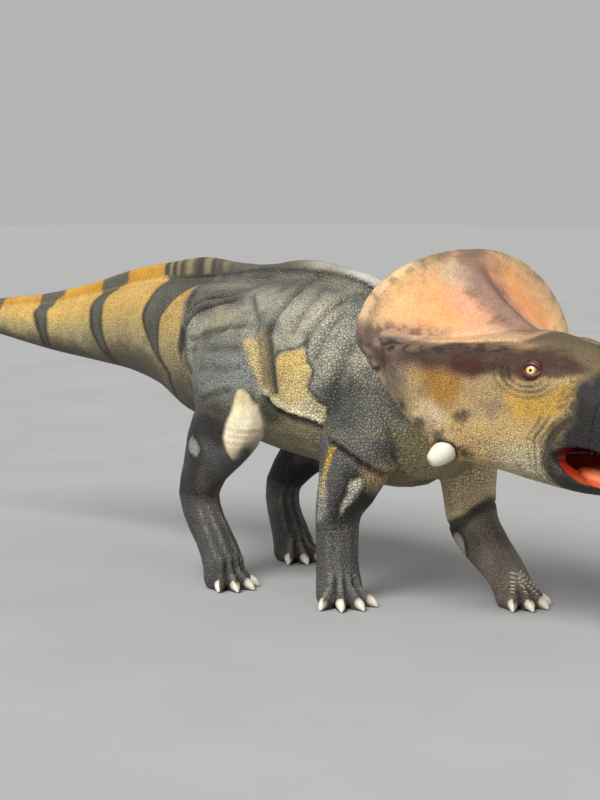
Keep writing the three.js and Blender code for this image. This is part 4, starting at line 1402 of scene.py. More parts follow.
def facing_gape(place: HeadFrame, shell: Shell, back: float) -> tuple[np.ndarray, np.ndarray]:
    """Compares the way a shell faces with the way to the axis of the open mouth.

    Args:
        place: Frame of the head.
        shell: The shell.
        back: Forward place at which the axis ends.

    Returns:
        How squarely each vertex faces the axis, from -1 to 1, and its distance from it.
    """
    local = place.inward(shell.points)
    gape = np.array(GAPE, float)
    middle = np.interp(local[:, 0], gape[:, 0], gape[:, 1:].mean(axis=1))
    axis = place.outward(np.column_stack([np.maximum(local[:, 0], back), np.zeros(len(local)), middle]))
    towards = axis - shell.points
    gap = np.linalg.norm(towards, axis=1)
    return np.einsum("ij,ij->i", shell.normals(), towards) / np.maximum(gap, 1e-6), gap


@dataclass
class HeadHide(Hide):
    """Hide of the head, jaw and frill, as one closed skin, with the inside of the mouth."""

    place: HeadFrame
    voxel: float = 3.46
    swell: float = 0.6
    keel_lean: float = 24.0
    frill_draw: float = 16.0
    left_reach: float = 26.0
    keel_height: float = 11.0
    fine_mottle: float = 18.0
    broad_mottle: float = 70.0
    seed: int = 23

    NODES = ("head", "lower_jaw", "frill")
    MOUTH_NODES = ("head", "lower_jaw", "upper_beak", "lower_beak", "tongue")
    MOUTH_BACK = 400.0
    SIGHT_START = 5.0
    SIGHT_REACH = 130.0

    def build(self, finish: HideFinish) -> Shell:
        """Grows, folds and paints the skin.

        Args:
            finish: The hide's finish.

        Returns:
            The finished piece.
        """
        self.grow("head_hide", self.NODES)
        self.skin.relax(10)
        self.end_frill()
        self.mouth = self.inside_mouth()
        self.skin.relax(24, self.mouth)
        creases = self.fold()
        self.paint(creases)
        self.skin.finish(finish.make(), self.NODES, "head_skin")
        return self.skin

    def local(self) -> np.ndarray:
        """The vertices in the head's frame, all on one side."""
        inward = self.place.inward(self.skin.points)
        return np.column_stack([inward[:, 0], np.abs(inward[:, 1]), inward[:, 2]])

    def end_frill(self) -> None:
        """Draws the lowest ends of the frill in, so that they run into the cheeks."""
        inward = self.place.inward(self.skin.points)
        a, w, z = self.local().T
        rear = ramp(95, 60, a)
        low = rear * ramp(200, 240, w) * ramp(605, 575, z)
        draw = self.frill_draw * ramp(585, 530, z) * rear * ramp(245, 262, w)
        inward[:, 1] -= np.sign(inward[:, 1]) * draw
        self.skin.points = self.place.outward(inward)
        self.skin.relax(60, low)

    def off_keel(self) -> np.ndarray:
        """Distances from the midline of the frill, which leans to the right at its top."""
        inward = self.place.inward(self.skin.points)
        return np.abs(inward[:, 1] + self.keel_lean * ramp(610, 730, inward[:, 2]))

    def inside_mouth(self) -> np.ndarray:
        """Finds the skin that faces the open mouth: its axis, the other cheek, the front or another solid.

        Returns:
            How much each vertex lies inside the mouth, from 0 to 1.
        """
        skin = self.skin
        a, across, z = self.place.inward(skin.points).T
        normals = skin.normals()
        facing, gap = facing_gape(self.place, skin, self.MOUTH_BACK)
        axial = ramp(0.0, 0.35, facing) * ramp(345, 375, a) * ramp(85, 70, gap)
        inward = -(normals @ self.place.left) * np.sign(across)
        walls = ramp(0.1, 0.3, inward) * ramp(378, 388, a) * ramp(300, 310, z) * ramp(425, 415, z)
        back = ramp(0.3, 0.5, normals @ self.place.forward) * ramp(325, 332, a) * ramp(408, 400, a)
        back = back * ramp(80, 72, np.abs(across)) * ramp(330, 340, z) * ramp(400, 390, z)
        near = np.maximum.reduce([axial, walls, back])
        tree, _ = solid_tree(self.MOUTH_NODES)
        for index in np.flatnonzero((a > 325) & (z > 295) & (z < 430) & (near < 1)):
            way = Vector(normals[index])
            start = Vector(skin.points[index] * MM) + way * self.SIGHT_START * MM
            if tree.ray_cast(start, way, self.SIGHT_REACH * MM)[0] is not None:
                near[index] = 1.0
        return skin.spread(near, 1)

    def fold(self) -> np.ndarray:
        """Presses the wrinkles round the eye and mouth, the rim of the temple and the midline of the frill.

        Returns:
            How darkly each vertex is painted in a crease, from 0 to 1, partly as dark paint and partly as painted
            shade.
        """
        skin = self.skin
        local = self.local()
        a, w, z = local.T
        creases = np.zeros(len(a))
        outer = ramp(40, 70, w)
        around = np.hypot((a - HeadFrame.EYE_FORWARD) / 1.2, z - EYE_HEIGHT)
        turn = np.degrees(np.arctan2(z - EYE_HEIGHT, a - HeadFrame.EYE_FORWARD)) % 360
        sector = ramp(150, 190, turn) * ramp(350, 300, turn) * outer * ramp(24, 28, around) * ramp(62, 48, around)
        wave = np.cos((around - 26) / 11 * math.tau)
        skin.push(sector * 1.3 * wave)
        creases = np.maximum(creases, 0.85 * sector * ramp(-0.2, -0.95, wave))
        corner = np.array(MOUTH_RING, float)
        gap = line_distance(local[:, [0, 2]], corner)
        behind = a - place_at(MOUTH_RING, z)
        ring = ramp(30, 50, w) * ramp(455, 440, z) * ramp(300, 320, z) * ramp(6, -4, behind) * ramp(44, 30, gap)
        wave = np.cos((gap + 3 * np.sin(z / 11)) / 12 * math.tau)
        skin.push(-ring * 1.9 * wave)
        creases = np.maximum(creases, 0.7 * ring * ramp(0.2, 0.95, wave))
        rim = line_distance(local, np.array(RIM, float))
        skin.push(3.5 * bell(rim, 0, 9))
        horn = line_distance(local, np.array(CHEEK_HORN, float))
        skin.push(5.0 * bell(horn, 30, 8) - 4.0 * bell(horn, 20, 5))
        # Painted shade in the groove round the root of each cheek horn.
        creases = np.maximum(creases, 0.8 * bell(horn, 22, 5))
        front = self.part("frill", soft=4) * ramp(-0.1, 0.3, skin.normals() @ self.place.forward)
        off = self.off_keel()
        keel = bell(off, 0, 22) - 0.6 * bell(off, 80, 36)
        skin.push(self.keel_height * front * keel * ramp(585, 640, z) * ramp(745, 700, z))
        return skin.spread(creases, 1)

    def paint(self, creases: np.ndarray) -> None:
        """Paints the cheeks, temples, frill, muzzle and mouth.

        Args:
            creases: How darkly each vertex is painted in a crease, from 0 to 1, partly as dark paint and partly as
                painted shade.
        """
        skin = self.skin
        local = self.local()
        a, w, z = local.T
        side = local[:, [0, 2]]
        self.fine = fine = self.cloud(0, self.fine_mottle)
        self.broad = broad = self.cloud(60, self.broad_mottle)
        skin.lay(Paint.CHEEK)
        skin.lay(Paint.JAW, ramp(420, 350, z + 30 * (broad - 0.5)) * ramp(250, 320, a))
        skin.lay(Paint.CHEEK_GREY, 0.9 * ramp(185, 110, a - 0.15 * (z - 480) + 50 * (broad - 0.5)))
        skin.lay(Paint.CHEEK_PINK, 0.8 * ramp(48, 14, np.hypot((a - 178) * 0.9, z - 436) + 20 * (fine - 0.5)))
        skin.lay(Paint.CHEEK_GREY, 0.6 * ramp(0.55, 0.8, self.cloud(900, 45)))
        for patch in OCHRES:
            skin.patch(patch, side, broad, ramp(40, 70, w))
        skin.lay(Paint.FOREHEAD, ramp(574, 590, z + 10 * (fine - 0.5)) * ramp(250, 300, a))
        skin.lay(Paint.FOREHEAD, 0.9 * ramp(290, 350, a) * ramp(-4, 12, z - 552 + 0.3 * (a - 340) + 16 * (fine - 0.5)))
        skin.lay(Paint.OLIVE, 0.6 * ramp(300, 350, a) * ramp(0, 14, z - 552 + 0.3 * (a - 340)) * ramp(0.5, 0.7, broad))
        right = ramp(10, -10, self.place.inward(skin.points)[:, 1])
        skin.lay(Paint.TEMPLE, 0.2 * right * ramp(160, 80, a) * ramp(430, 500, z) * ramp(0.42, 0.62, fine))
        skin.patch(TEMPLE, side, broad, ramp(40, 70, w) * np.maximum(right, ramp(110, 170, a)))
        skin.patch(TEMPLE_RED, side, broad, ramp(40, 70, w))
        self.paint_frill()
        self.paint_face()
        # Near black in the wrinkles round the eye and mouth and round the horn roots: partly the statue's dark paint,
        # partly painted shade.
        skin.lay(Paint.CREASE, creases)
        skin.colour = skin.colour * (0.84 + 0.32 * self.cloud(30, 30))[:, None]
        around = skin.spread(self.mouth, 3)
        mouth = np.where(z > 362, ramp(0.2, 0.5, around), ramp(0.7, 0.98, around))
        skin.lay(Paint.MUZZLE, ramp(0.05, 0.5, around))
        # Deep red inside the mouth, left darkest over the roof as painted shade; the brighter red lower down is the
        # mouth's own paint.
        skin.lay(Paint.MOUTH_DEEP, mouth)
        skin.lay(Paint.MOUTH_RED, mouth * ramp(375, 345, z))
        skin.lay(Paint.TONGUE_PINK, 0.35 * mouth * ramp(352, 330, z) * ramp(400, 440, a))
        # Painted shadow, near black, in the upper back of the mouth behind its corners.
        skin.lay(Paint.OUTLINE, 0.6 * mouth * ramp(395, 350, a) * ramp(345, 360, z))
        skin.tags["grain"] = ramp(470, 380, z) * (1 - mouth)
        skin.tags["brush"] = np.zeros_like(mouth)
        frill = self.part("frill", soft=6)
        skin.tags["groove"] = (0.8 - 0.5 * frill) * (1 - mouth)
        skin.tags["wet"] = mouth

    def paint_frill(self) -> None:
        """Paints the lobes of the frill orange, paler to the margin, brown on the midline and dull behind."""
        skin = self.skin
        fine, broad = self.fine, self.broad
        local = self.local()
        a, w, z = local.T
        across = self.place.inward(skin.points)[:, 1]
        right = ramp(10, -10, across)
        ahead = skin.normals() @ self.place.forward
        rim = np.array(RIM, float)
        lift = z - np.interp(a, rim[:, 0], rim[:, 2])
        over = lift + self.left_reach * (1 - right) * ramp(-0.1, 0.3, ahead) * ramp(120, 60, a)
        frill = ramp(-4, 6, over + 6 * (fine - 0.5)) * ramp(300, 262, a)
        off = self.off_keel()
        reach = FRILL_FACE.reach(w, z)
        margin = reach + 0.25 * (broad - 0.5)
        skin.lay(Paint.FRILL_PEACH, frill)
        skin.lay(Paint.FRILL_ORANGE, frill * ramp(0.95, 0.55, margin))
        skin.lay(Paint.FRILL_CREAM, 0.6 * frill * ramp(0.8, 1.0, margin))
        skin.lay(Paint.OLIVE, 0.3 * frill * ramp(0.9, 1.02, margin))
        skin.lay(Paint.FRILL_PINK, 0.8 * frill * ramp(105, 40, off - 0.25 * (a - 60) + 50 * (broad - 0.5)))
        skin.lay(Paint.RIM_CREAM, 0.45 * frill * ramp(44, 8, over) * ramp(60, 110, a))
        pale = FRILL_PALE.reach(across, z) + 0.5 * (broad - 0.5)
        skin.lay(Paint.HIDE_SAND, 0.5 * frill * ramp(1.2, 0.4, pale))
        skin.lay(Paint.FRILL_BROWN, 0.9 * frill * ramp(48, 10, off - 0.12 * (a - 60) + 30 * (fine - 0.5)))
        blot = self.cloud(210, 22)
        skin.lay(Paint.OLIVE, 0.6 * frill * ramp(0.93, 1.02, reach) * ramp(0.5, 0.66, blot))
        # Painted shadow along the left side of the frill's midline ridge.
        shade = across + self.keel_lean * ramp(610, 730, z) - 16
        skin.lay(Paint.TEMPLE, 0.4 * frill * bell(shade, 0, 11) * ramp(590, 620, z) * ramp(735, 700, z))
        top = frill * ramp(0.93, 1.0, reach + 0.06 * (fine - 0.5)) * ramp(150, 60, off)
        skin.lay(Paint.OLIVE, 0.75 * top * ramp(0.3, 0.5, broad))
        low = frill * right * ramp(90, 20, a) * ramp(640, 590, z + 40 * (broad - 0.5))
        skin.lay(Paint.FRILL_EDGE, 0.9 * low)
        skin.lay(Paint.TEMPLE, 0.7 * low * ramp(0.45, 0.65, fine))
        corner = right * ramp(160, 70, a) * ramp(622, 590, z) * ramp(470, 540, z + 40 * (broad - 0.5))
        skin.lay(Paint.FRILL_EDGE, 0.6 * corner)
        skin.lay(Paint.TEMPLE, 0.6 * corner * ramp(0.4, 0.6, fine))
        blot = self.cloud(610, 7)
        for place in FRILL_SPOTS:
            gap = np.linalg.norm(local - place[:3], axis=1) + 22 * (fine - 0.5)
            skin.lay(Paint.OLIVE, 0.6 * ramp(place[3] + 10, place[3] - 8, gap) * ramp(0.3, 0.55, blot))
        rear = self.part("frill", soft=2) * ramp(-0.15, -0.5, ahead)
        skin.lay(Paint.FRILL_BACK, rear)
        skin.lay(Paint.HIDE_DARK, 0.7 * rear * ramp(0.45, 0.7, broad))
        band = line_distance(local, rim) + 9 * (fine - 0.5)
        skin.lay(Paint.RIM_CREAM, 0.55 * ramp(60, 130, a) * ramp(13, 4, band + 8 * (blot - 0.5)) * ramp(310, 270, a))
        dots = ramp(2, 9, -lift) * ramp(30, 14, -lift) * ramp(40, 70, w) * ramp(330, 300, a) * ramp(10, 40, a)
        dots = dots * np.maximum(right, ramp(110, 170, a))
        skin.lay(Paint.CREASE, 0.9 * dots * ramp(0.5, 0.62, self.cloud(333, 15)))

    def paint_face(self) -> None:
        """Paints the dark muzzle and lips, the dark red round the eye and the spots on the cheek."""
        skin = self.skin
        fine, broad = self.fine, self.broad
        local = self.local()
        a, w, z = local.T
        blot = self.cloud(410, 6)
        for forward, height, size in CHEEK_SPOTS:
            gap = np.hypot(a - forward, z - height) + 12 * (fine - 0.5) + 14 * (blot - 0.5)
            skin.lay(Paint.CREASE, 0.8 * ramp(40, 70, w) * ramp(size + 8, size - 10, gap))
        lip = ramp(-2, 8, a - place_at(MOUTH_RING, z))
        lip = lip * ramp(296, 306, z) * ramp(446, 425, z)
        skin.lay(Paint.OLIVE, 0.7 * lip)
        skin.lay(Paint.MUZZLE, 0.8 * lip * ramp(402, 378, z + 20 * (fine - 0.5)))
        snout = a - place_at(SNOUT_EDGE, z) + 24 * (fine - 0.5) + 30 * (broad - 0.5)
        skin.lay(Paint.OLIVE, 0.7 * ramp(-40, 0, snout) * ramp(0.4, 0.6, blot) * ramp(410, 440, z))
        skin.lay(Paint.MUZZLE, ramp(-16, 18, snout))
        ring = line_distance(local[:, [0, 2]], np.array(MOUTH_RING, float))
        skin.lay(Paint.MUZZLE, 0.85 * ramp(16, 3, ring + 6 * (fine - 0.5)) * ramp(470, 440, z))
        eye = np.hypot((a - HeadFrame.EYE_FORWARD) / 1.25, z - EYE_HEIGHT)
        brow = BROW.reach(a, z) + 0.7 * (fine - 0.5)
        skin.lay(Paint.TEMPLE, 0.9 * ramp(1.15, 0.6, brow) * ramp(30, 60, w))
        cheek = CHEEK_HOLLOW.reach(a, z) + 0.5 * (broad - 0.5)
        skin.lay(Paint.CHEEK_GREY, 0.25 * ramp(1.2, 0.4, cheek) * ramp(30, 60, w))
        trail = EYE_TRAIL.reach(a, z)
        skin.lay(Paint.TEMPLE, 0.85 * ramp(1.2, 0.6, trail + 0.4 * (fine - 0.5)) * ramp(30, 50, w))
        skin.lay(Paint.LID_RED, 0.5 * ramp(24, 19, eye) * ramp(40, 70, w))


# Eyes, beak, horns, claws and tongue


@dataclass(frozen=True)
class EyeAxes:
    """Centre of an eyeball, the way it looks, forward and up across it, and its radius in millimetres."""

    centre: np.ndarray
    look: np.ndarray
    fore: np.ndarray
    rise: np.ndarray
    radius: float

    def ray(self, across: np.ndarray, tilt: float) -> np.ndarray:
        """The way that leans from the look towards a direction across it."""
        return self.look * math.cos(tilt) + across * math.sin(tilt)


@dataclass
class Eye:
    """A glossy eye with a pale iris, and the two thick lids round it."""

    place: HeadFrame
    side: str
    iris_deg: float = 31.0
    pupil_deg: float = 10.0
    lid_reach_deg: tuple[float, float] = (50.0, 30.0)
    lid_thickness: float = 5.2
    look_forward: float = 0.58
    look_up: float = 0.1
    ball_mesh: tuple[int, int] = (60, 64)
    lid_mesh: tuple[int, int] = (72, 14)
    seed: int = 5

    def axes(self) -> EyeAxes:
        """Finds the ball in the frame and turns it outwards and ahead.

        Returns:
            The axes of the ball.
        """
        low, high = node_box(self.side + "_eye")
        sign = 1 if self.side == "left" else -1
        look = self.place.left * sign + self.look_forward * self.place.forward + self.look_up * UP
        look /= np.linalg.norm(look)
        fore = self.place.forward - look * (self.place.forward @ look)
        fore /= np.linalg.norm(fore)
        rise = np.cross(look, fore) * -sign
        return EyeAxes((low + high) / 2, look, fore, rise, float((high - low)[2] / 2))

    def build(self, gloss: HornFinish, hide: HornFinish) -> tuple[Shell, Shell]:
        """Makes the ball and its lids.

        Args:
            gloss: Finish of the ball.
            hide: Finish of the lids.

        Returns:
            The ball and the lids.
        """
        axes = self.axes()
        return self.ball(gloss, axes), self.lids(hide, axes)

    def ball(self, gloss: HornFinish, axes: EyeAxes) -> Shell:
        """Makes the ball, painted in rings round the way it looks.

        Args:
            gloss: Finish of the ball.
            axes: Axes of the ball.

        Returns:
            The finished ball.
        """
        rings, sides = self.ball_mesh
        points = [axes.centre + axes.look * axes.radius]
        tilts = [0.0]
        for ring in range(1, rings):
            tilt = math.pi * ring / rings
            for step in range(sides):
                turn = math.tau * step / sides
                across = axes.fore * math.cos(turn) + axes.rise * math.sin(turn)
                points.append(axes.centre + axes.radius * axes.ray(across, tilt))
                tilts.append(tilt)
        points.append(axes.centre - axes.look * axes.radius)
        tilts.append(math.pi)
        faces: list[tuple[int, ...]] = []
        last = len(points) - 1
        for step in range(sides):
            after = (step + 1) % sides
            faces.append((0, 1 + step, 1 + after))
            for ring in range(rings - 2):
                first = 1 + ring * sides
                faces.append((first + step, first + sides + step, first + sides + after, first + after))
            faces.append((last, last - sides + after, last - sides + step))
        ball = Shell.drawn(self.side + "_eyeball", np.array(points), faces)
        flip_outward(ball)
        tilt = np.degrees(tilts)
        streak = Mottle(self.seed).at((ball.points - axes.centre) * 3.0, 2.4)
        ball.lay(Paint.MOUTH_DEEP)
        ball.lay(Paint.IRIS_RIM, ramp(self.iris_deg + 3, self.iris_deg - 2, tilt))
        ball.lay(Paint.IRIS, ramp(self.iris_deg - 4, self.iris_deg - 14, tilt + 8 * (streak - 0.5)))
        ball.lay(Paint.PUPIL, ramp(self.pupil_deg + 2, self.pupil_deg - 2, tilt))
        ball.finish(gloss.make(), (self.side + "_eye",), "eye")
        return ball

    def lids(self, hide: HornFinish, axes: EyeAxes) -> Shell:
        """Makes the lids as one thick almond-shaped ring on the ball.

        Args:
            hide: Finish of the lids.
            axes: Axes of the ball.

        Returns:
            The finished lids.
        """
        along, sides = self.lid_mesh
        points = []
        for step in range(along):
            turn = math.tau * step / along
            reach = math.radians(self.lid_reach_deg[0]) * math.cos(turn)
            lift = math.radians(self.lid_reach_deg[1]) * math.sin(turn) * (1 - 0.25 * math.cos(turn) ** 2)
            tilt = math.hypot(reach, lift)
            across = (axes.fore * reach + axes.rise * lift) / tilt
            out = axes.ray(across, tilt)
            away = across * math.cos(tilt) - axes.look * math.sin(tilt)
            thick = self.lid_thickness * (0.62 + 0.38 * abs(math.sin(turn)))
            for corner in range(sides):
                bend = math.tau * corner / sides
                middle = axes.centre + out * (axes.radius + 0.4)
                points.append(middle + thick * (out * 0.8 * math.cos(bend) + away * math.sin(bend) + 0.6 * away))
        faces = [
            (step * sides + corner, step * sides + (corner + 1) % sides,
             (step + 1) % along * sides + (corner + 1) % sides, (step + 1) % along * sides + corner)
            for step in range(along)
            for corner in range(sides)
        ]
        lids = Shell.drawn(self.side + "_eyelids", np.array(points), faces)
        flip_outward(lids)
        reach = np.linalg.norm(lids.points - axes.centre - axes.look * axes.radius * 0.8, axis=1)
        lids.lay(Paint.LID_RED)
        lids.lay(Paint.TEMPLE, 0.95 * ramp(10, 15, reach))
        lids.finish(hide.make(), (), "head_skin")
        return lids


def flip_outward(shell: Shell) -> None:
    """Turns the faces of a closed shell outwards.

    Args:
        shell: The shell, which is read again.
    """
    bm = bmesh.new()
    bm.from_mesh(shell.object.data)
    bmesh.ops.recalc_face_normals(bm, faces=bm.faces)
    bm.to_mesh(shell.object.data)
    bm.free()
    shell.read()


@dataclass
class HornPieces:
    """Beak, cheek horns, claws and tongue: smooth copies of their solids, finely meshed and painted."""

    place: HeadFrame
    claw_voxel: float = 1.6
    beak_voxel: float = 2.2
    claws_a_foot: int = 4
    beak_seed: int = 31
    horn_rounding: int = 50
    horn_swell: float = 1.6

    def build(self) -> list[Shell]:
        """Makes all the pieces.

        Returns:
            The pieces.
        """
        horn = HornFinish("painted_horn", roughness=0.36, line_spacing=2.2, relief=0.25)
        beak = HideFinish("painted_beak", fine=3.7, coarse=5.4, relief=0.22)
        wet = HornFinish("painted_tongue", roughness=0.18, line_spacing=4.0, relief=0.6, coat=0.6)
        pieces = [self.beak(side, beak) for side in ("upper", "lower")]
        pieces += [self.cheek_horn(side, horn) for side in ("left", "right")]
        pieces += [self.claws(foot, horn) for foot in ("right_foot", "left_foot", "right_hand", "left_hand")]
        pieces.append(self.tongue(wet))
        return pieces

    def beak(self, side: str, finish: HideFinish) -> Shell:
        """Makes the upper or lower beak, near black outside and red within.

        Args:
            side: Upper or lower.
            finish: Finish of the piece.

        Returns:
            The finished piece.
        """
        node = side + "_beak"
        piece = Shell.grown(node + "_sheath", (node,), self.beak_voxel, 0.8)
        piece.relax(6)
        local = self.place.inward(piece.points)
        facing, gap = facing_gape(self.place, piece, -np.inf)
        inside = ramp(0.3, 0.6, facing) * ramp(46, 36, gap)
        inside = ramp(0.75, 0.98, piece.spread(inside, 5))
        mottle = Mottle(self.beak_seed).cloud(piece.points, 16)
        piece.lay(Paint.MUZZLE)
        piece.lay(Paint.HIDE_DARK, 0.5 * ramp(0.6, 0.8, mottle) * ramp(505, 530, local[:, 0]))
        piece.lay(Paint.HORN_SHADE, 0.4 * ramp(545, 585, local[:, 0]))
        piece.colour = piece.colour * (0.84 + 0.32 * mottle)[:, None]
        piece.lay(Paint.MOUTH_RED, inside)
        horny = ramp(560, 500, local[:, 0])
        grain = ramp(470, 380, local[:, 2])
        piece.tags = {"grain": grain, "brush": np.zeros_like(inside), "wet": inside}
        piece.tags["groove"] = 0.8 * horny * (1 - inside)
        piece.finish(finish.make(), (node,), "beak")
        return piece

    def cheek_horn(self, side: str, finish: HornFinish) -> Shell:
        """Makes a cheek horn, off white with a darker root.

        Args:
            side: Left or right.
            finish: Finish of the piece.

        Returns:
            The finished piece.
        """
        node = side + "_cheek_horn"
        piece = Shell.grown(side + "_jugal_horn", (node,), self.claw_voxel, self.horn_swell)
        piece.points = piece.spread(piece.points, self.horn_rounding)
        piece.push(np.full(len(piece.points), self.horn_swell))
        out = np.abs(self.place.inward(piece.points)[:, 1])
        piece.lay(Paint.HORN_WHITE)
        piece.lay(Paint.HORN_SHADE, 0.6 * ramp(215, 190, out))
        piece.finish(finish.make(), (node,), "horn")
        return piece

    def claws(self, foot: str, finish: HornFinish) -> Shell:
        """Makes the claws of one foot, off white with brown roots.

        Args:
            foot: Name of the foot's solid.
            finish: Finish of the piece.

        Returns:
            The finished piece.
        """
        nodes = tuple(f"{foot}_claw_{number + 1}" for number in range(self.claws_a_foot))
        piece = Shell.grown(foot + "_claws", nodes, self.claw_voxel, 0.3)
        piece.relax(6)
        root = np.full(len(piece.points), np.inf)
        middle = node_box(foot).mean(axis=0)
        for node in nodes:
            box = node_box(node)
            centre = box.mean(axis=0)
            away = (centre - middle) * (1, 1, 0)
            away /= np.linalg.norm(away)
            span = (piece.points - centre) @ away / (np.linalg.norm((box[1] - box[0])[:2]) / 2)
            nearby = np.linalg.norm(piece.points - centre, axis=1) < 40
            root = np.where(nearby & (np.abs(span) < 1.5), span, root)
        piece.lay(Paint.HORN_WHITE)
        piece.lay(Paint.HORN_SHADE, 0.7 * ramp(0.5, -0.1, root))
        piece.lay(Paint.HORN_ROOT, 0.85 * ramp(0.0, -0.4, root))
        piece.lay(Paint.LEG_DARK, 0.8 * ramp(-0.3, -0.55, root))
        piece.finish(finish.make(), nodes, "horn")
        return piece

    def tongue(self, finish: HornFinish) -> Shell:
        """Makes the tongue, pink with a groove down its middle.

        Args:
            finish: Finish of the piece.

        Returns:
            The finished piece.
        """
        piece = Shell.grown("soft_tongue", ("tongue",), self.beak_voxel, 0.2)
        piece.relax(8)
        local = self.place.inward(piece.points)
        groove = bell(local[:, 1], 0, 4) * ramp(0.2, 0.6, piece.normals()[:, 2])
        piece.push(-2.5 * groove)
        piece.lay(Paint.TONGUE_PINK)
        piece.lay(Paint.MOUTH_RED, 0.7 * ramp(450, 400, local[:, 0]) + 0.4 * groove)
        piece.finish(finish.make(), ("tongue",), "mouth")
        return piece


# Scutes on the toes


@dataclass
class ToeScutes:
    """Rows of raised scutes across the tops of the toes, set by a node tree on a mesh of their places.

    Sizes are in millimetres, and a scute sits only where the hide is low and faces up.
    """

    skin: Shell
    rows: int = 7
    spacing: float = 6.8
    width: float = 14.0
    length: float = 5.0
    height: float = 2.2
    first_gap: float = 16.0
    sunk: float = 0.5
    cast_from: float = 120.0
    highest: float = 75.0
    steepest: float = 0.35
    tones: tuple[float, float] = (0.7, 1.05)
    seed: int = 7

    def places(self) -> tuple[np.ndarray, ...]:
        """Finds where the scutes sit on the hide.

        Returns:
            Places, surface normals, directions along the toe, sizes and tones.
        """
        tree = BVHTree.FromPolygons((self.skin.points * MM).tolist(), self.skin.triangles.tolist())
        found = []
        for foot in FEET:
            for number, toe in enumerate(foot.TOES):
                claw = node_box(f"{foot.node}_claw_{number + 1}").mean(axis=0)
                heading = math.radians(foot.facing + toe)
                along = np.array([math.cos(heading), math.sin(heading), 0])
                for row in range(self.rows):
                    start = (claw - along * (self.first_gap + row * self.spacing)) * (1, 1, 0)
                    over = Vector((start + self.cast_from * UP) * MM)
                    hit, normal, _, _ = tree.ray_cast(over, Vector(-UP))
                    if hit is None or hit.z / MM > self.highest or normal.z < self.steepest:
                        continue
                    found.append((np.array(hit) / MM, np.array(normal), along, 0.8 + 0.06 * row, foot.scute_tone))
        return tuple(np.array(column) for column in zip(*found))

    def tree(self, material: bpy.types.Material) -> bpy.types.NodeTree:
        """Builds the node tree that sets a low dome on each place.

        Args:
            material: Finish of the scutes.

        Returns:
            The tree, with named inputs for a scute's sizes.
        """
        tree = bpy.data.node_groups.new("toe_scutes", "GeometryNodeTree")
        tree.interface.new_socket("Places", in_out="INPUT", socket_type="NodeSocketGeometry")
        for name in ("Scute length", "Scute width", "Scute height"):
            tree.interface.new_socket(name, in_out="INPUT", socket_type="NodeSocketFloat")
        tree.interface.new_socket("Scutes", in_out="OUTPUT", socket_type="NodeSocketGeometry")
        given = add(tree, "NodeGroupInput").outputs
        dome = add(tree, "GeometryNodeMeshUVSphere", Segments=10, Rings=6, Radius=1.0).outputs[0]
        size = add(tree, "ShaderNodeCombineXYZ", X=given[1], Y=given[2], Z=given[3]).outputs[0]
        shaped = add(tree, "GeometryNodeTransform", Geometry=dome, Scale=size).outputs[0]
        smooth = add(tree, "GeometryNodeSetShadeSmooth", Geometry=shaped).outputs[0]
        along = add(tree, "GeometryNodeInputNamedAttribute", data_type="FLOAT_VECTOR", Name="along").outputs[0]
        facing = add(tree, "GeometryNodeInputNamedAttribute", data_type="FLOAT_VECTOR", Name="facing").outputs[0]
        scale = add(tree, "GeometryNodeInputNamedAttribute", data_type="FLOAT", Name="size").outputs[0]
        turned = add(tree, "FunctionNodeAlignRotationToVector", axis="X", Vector=along).outputs[0]
        upright = add(tree, "FunctionNodeAlignRotationToVector", axis="Z", Rotation=turned, Vector=facing).outputs[0]
        points = add(tree, "GeometryNodeMeshToPoints", Mesh=given[0]).outputs[0]
        spots = add(tree, "GeometryNodeInstanceOnPoints", Points=points, Instance=smooth, Rotation=upright, Scale=scale)
        real = add(tree, "GeometryNodeRealizeInstances", Geometry=spots.outputs[0]).outputs[0]
        dressed = add(tree, "GeometryNodeSetMaterial", Geometry=real, Material=material).outputs[0]
        tree.links.new(dressed, add(tree, "NodeGroupOutput").inputs[0])
        return tree

    def build(self, finish: HornFinish) -> bpy.types.Object:
        """Sets the scutes and turns them into a plain mesh.

        Args:
            finish: Finish of the scutes.

        Returns:
            The finished piece.
        """
        places, normals, along, sizes, tones = self.places()
        mesh = bpy.data.meshes.new("scute_places")
        mesh.from_pydata(((places - normals * self.sunk) * MM).tolist(), [], [])
        for name, values in (("facing", normals), ("along", along)):
            mesh.attributes.new(name, "FLOAT_VECTOR", "POINT").data.foreach_set("vector", values.ravel())
        mesh.attributes.new("size", "FLOAT", "POINT").data.foreach_set("value", sizes)
        tone = tones * np.random.default_rng(self.seed).uniform(*self.tones, len(places))
        colour = np.column_stack([Paint.SCUTE.rgb * tone[:, None], np.ones(len(places))])
        mesh.attributes.new("paint", "FLOAT_COLOR", "POINT").data.foreach_set("color", colour.ravel())
        piece = linked("toe_scutes", mesh)
        material = finish.make()
        tree = self.tree(material)
        setter = piece.modifiers.new("set scutes", "NODES")
        setter.node_group = tree
        sockets = {item.name: item.identifier for item in tree.interface.items_tree if item.in_out == "INPUT"}
        for name, value in (("length", self.length / 2), ("width", self.width / 2), ("height", self.height)):
            setter[sockets["Scute " + name]] = value * MM
        made = bpy.data.meshes.new_from_object(piece.evaluated_get(bpy.context.evaluated_depsgraph_get()))
        piece.modifiers.clear()
        piece.data = made
        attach(piece, BODY)
        LOG.info("%s: %d scutes", piece.name, len(places))
        return piece


# The studio


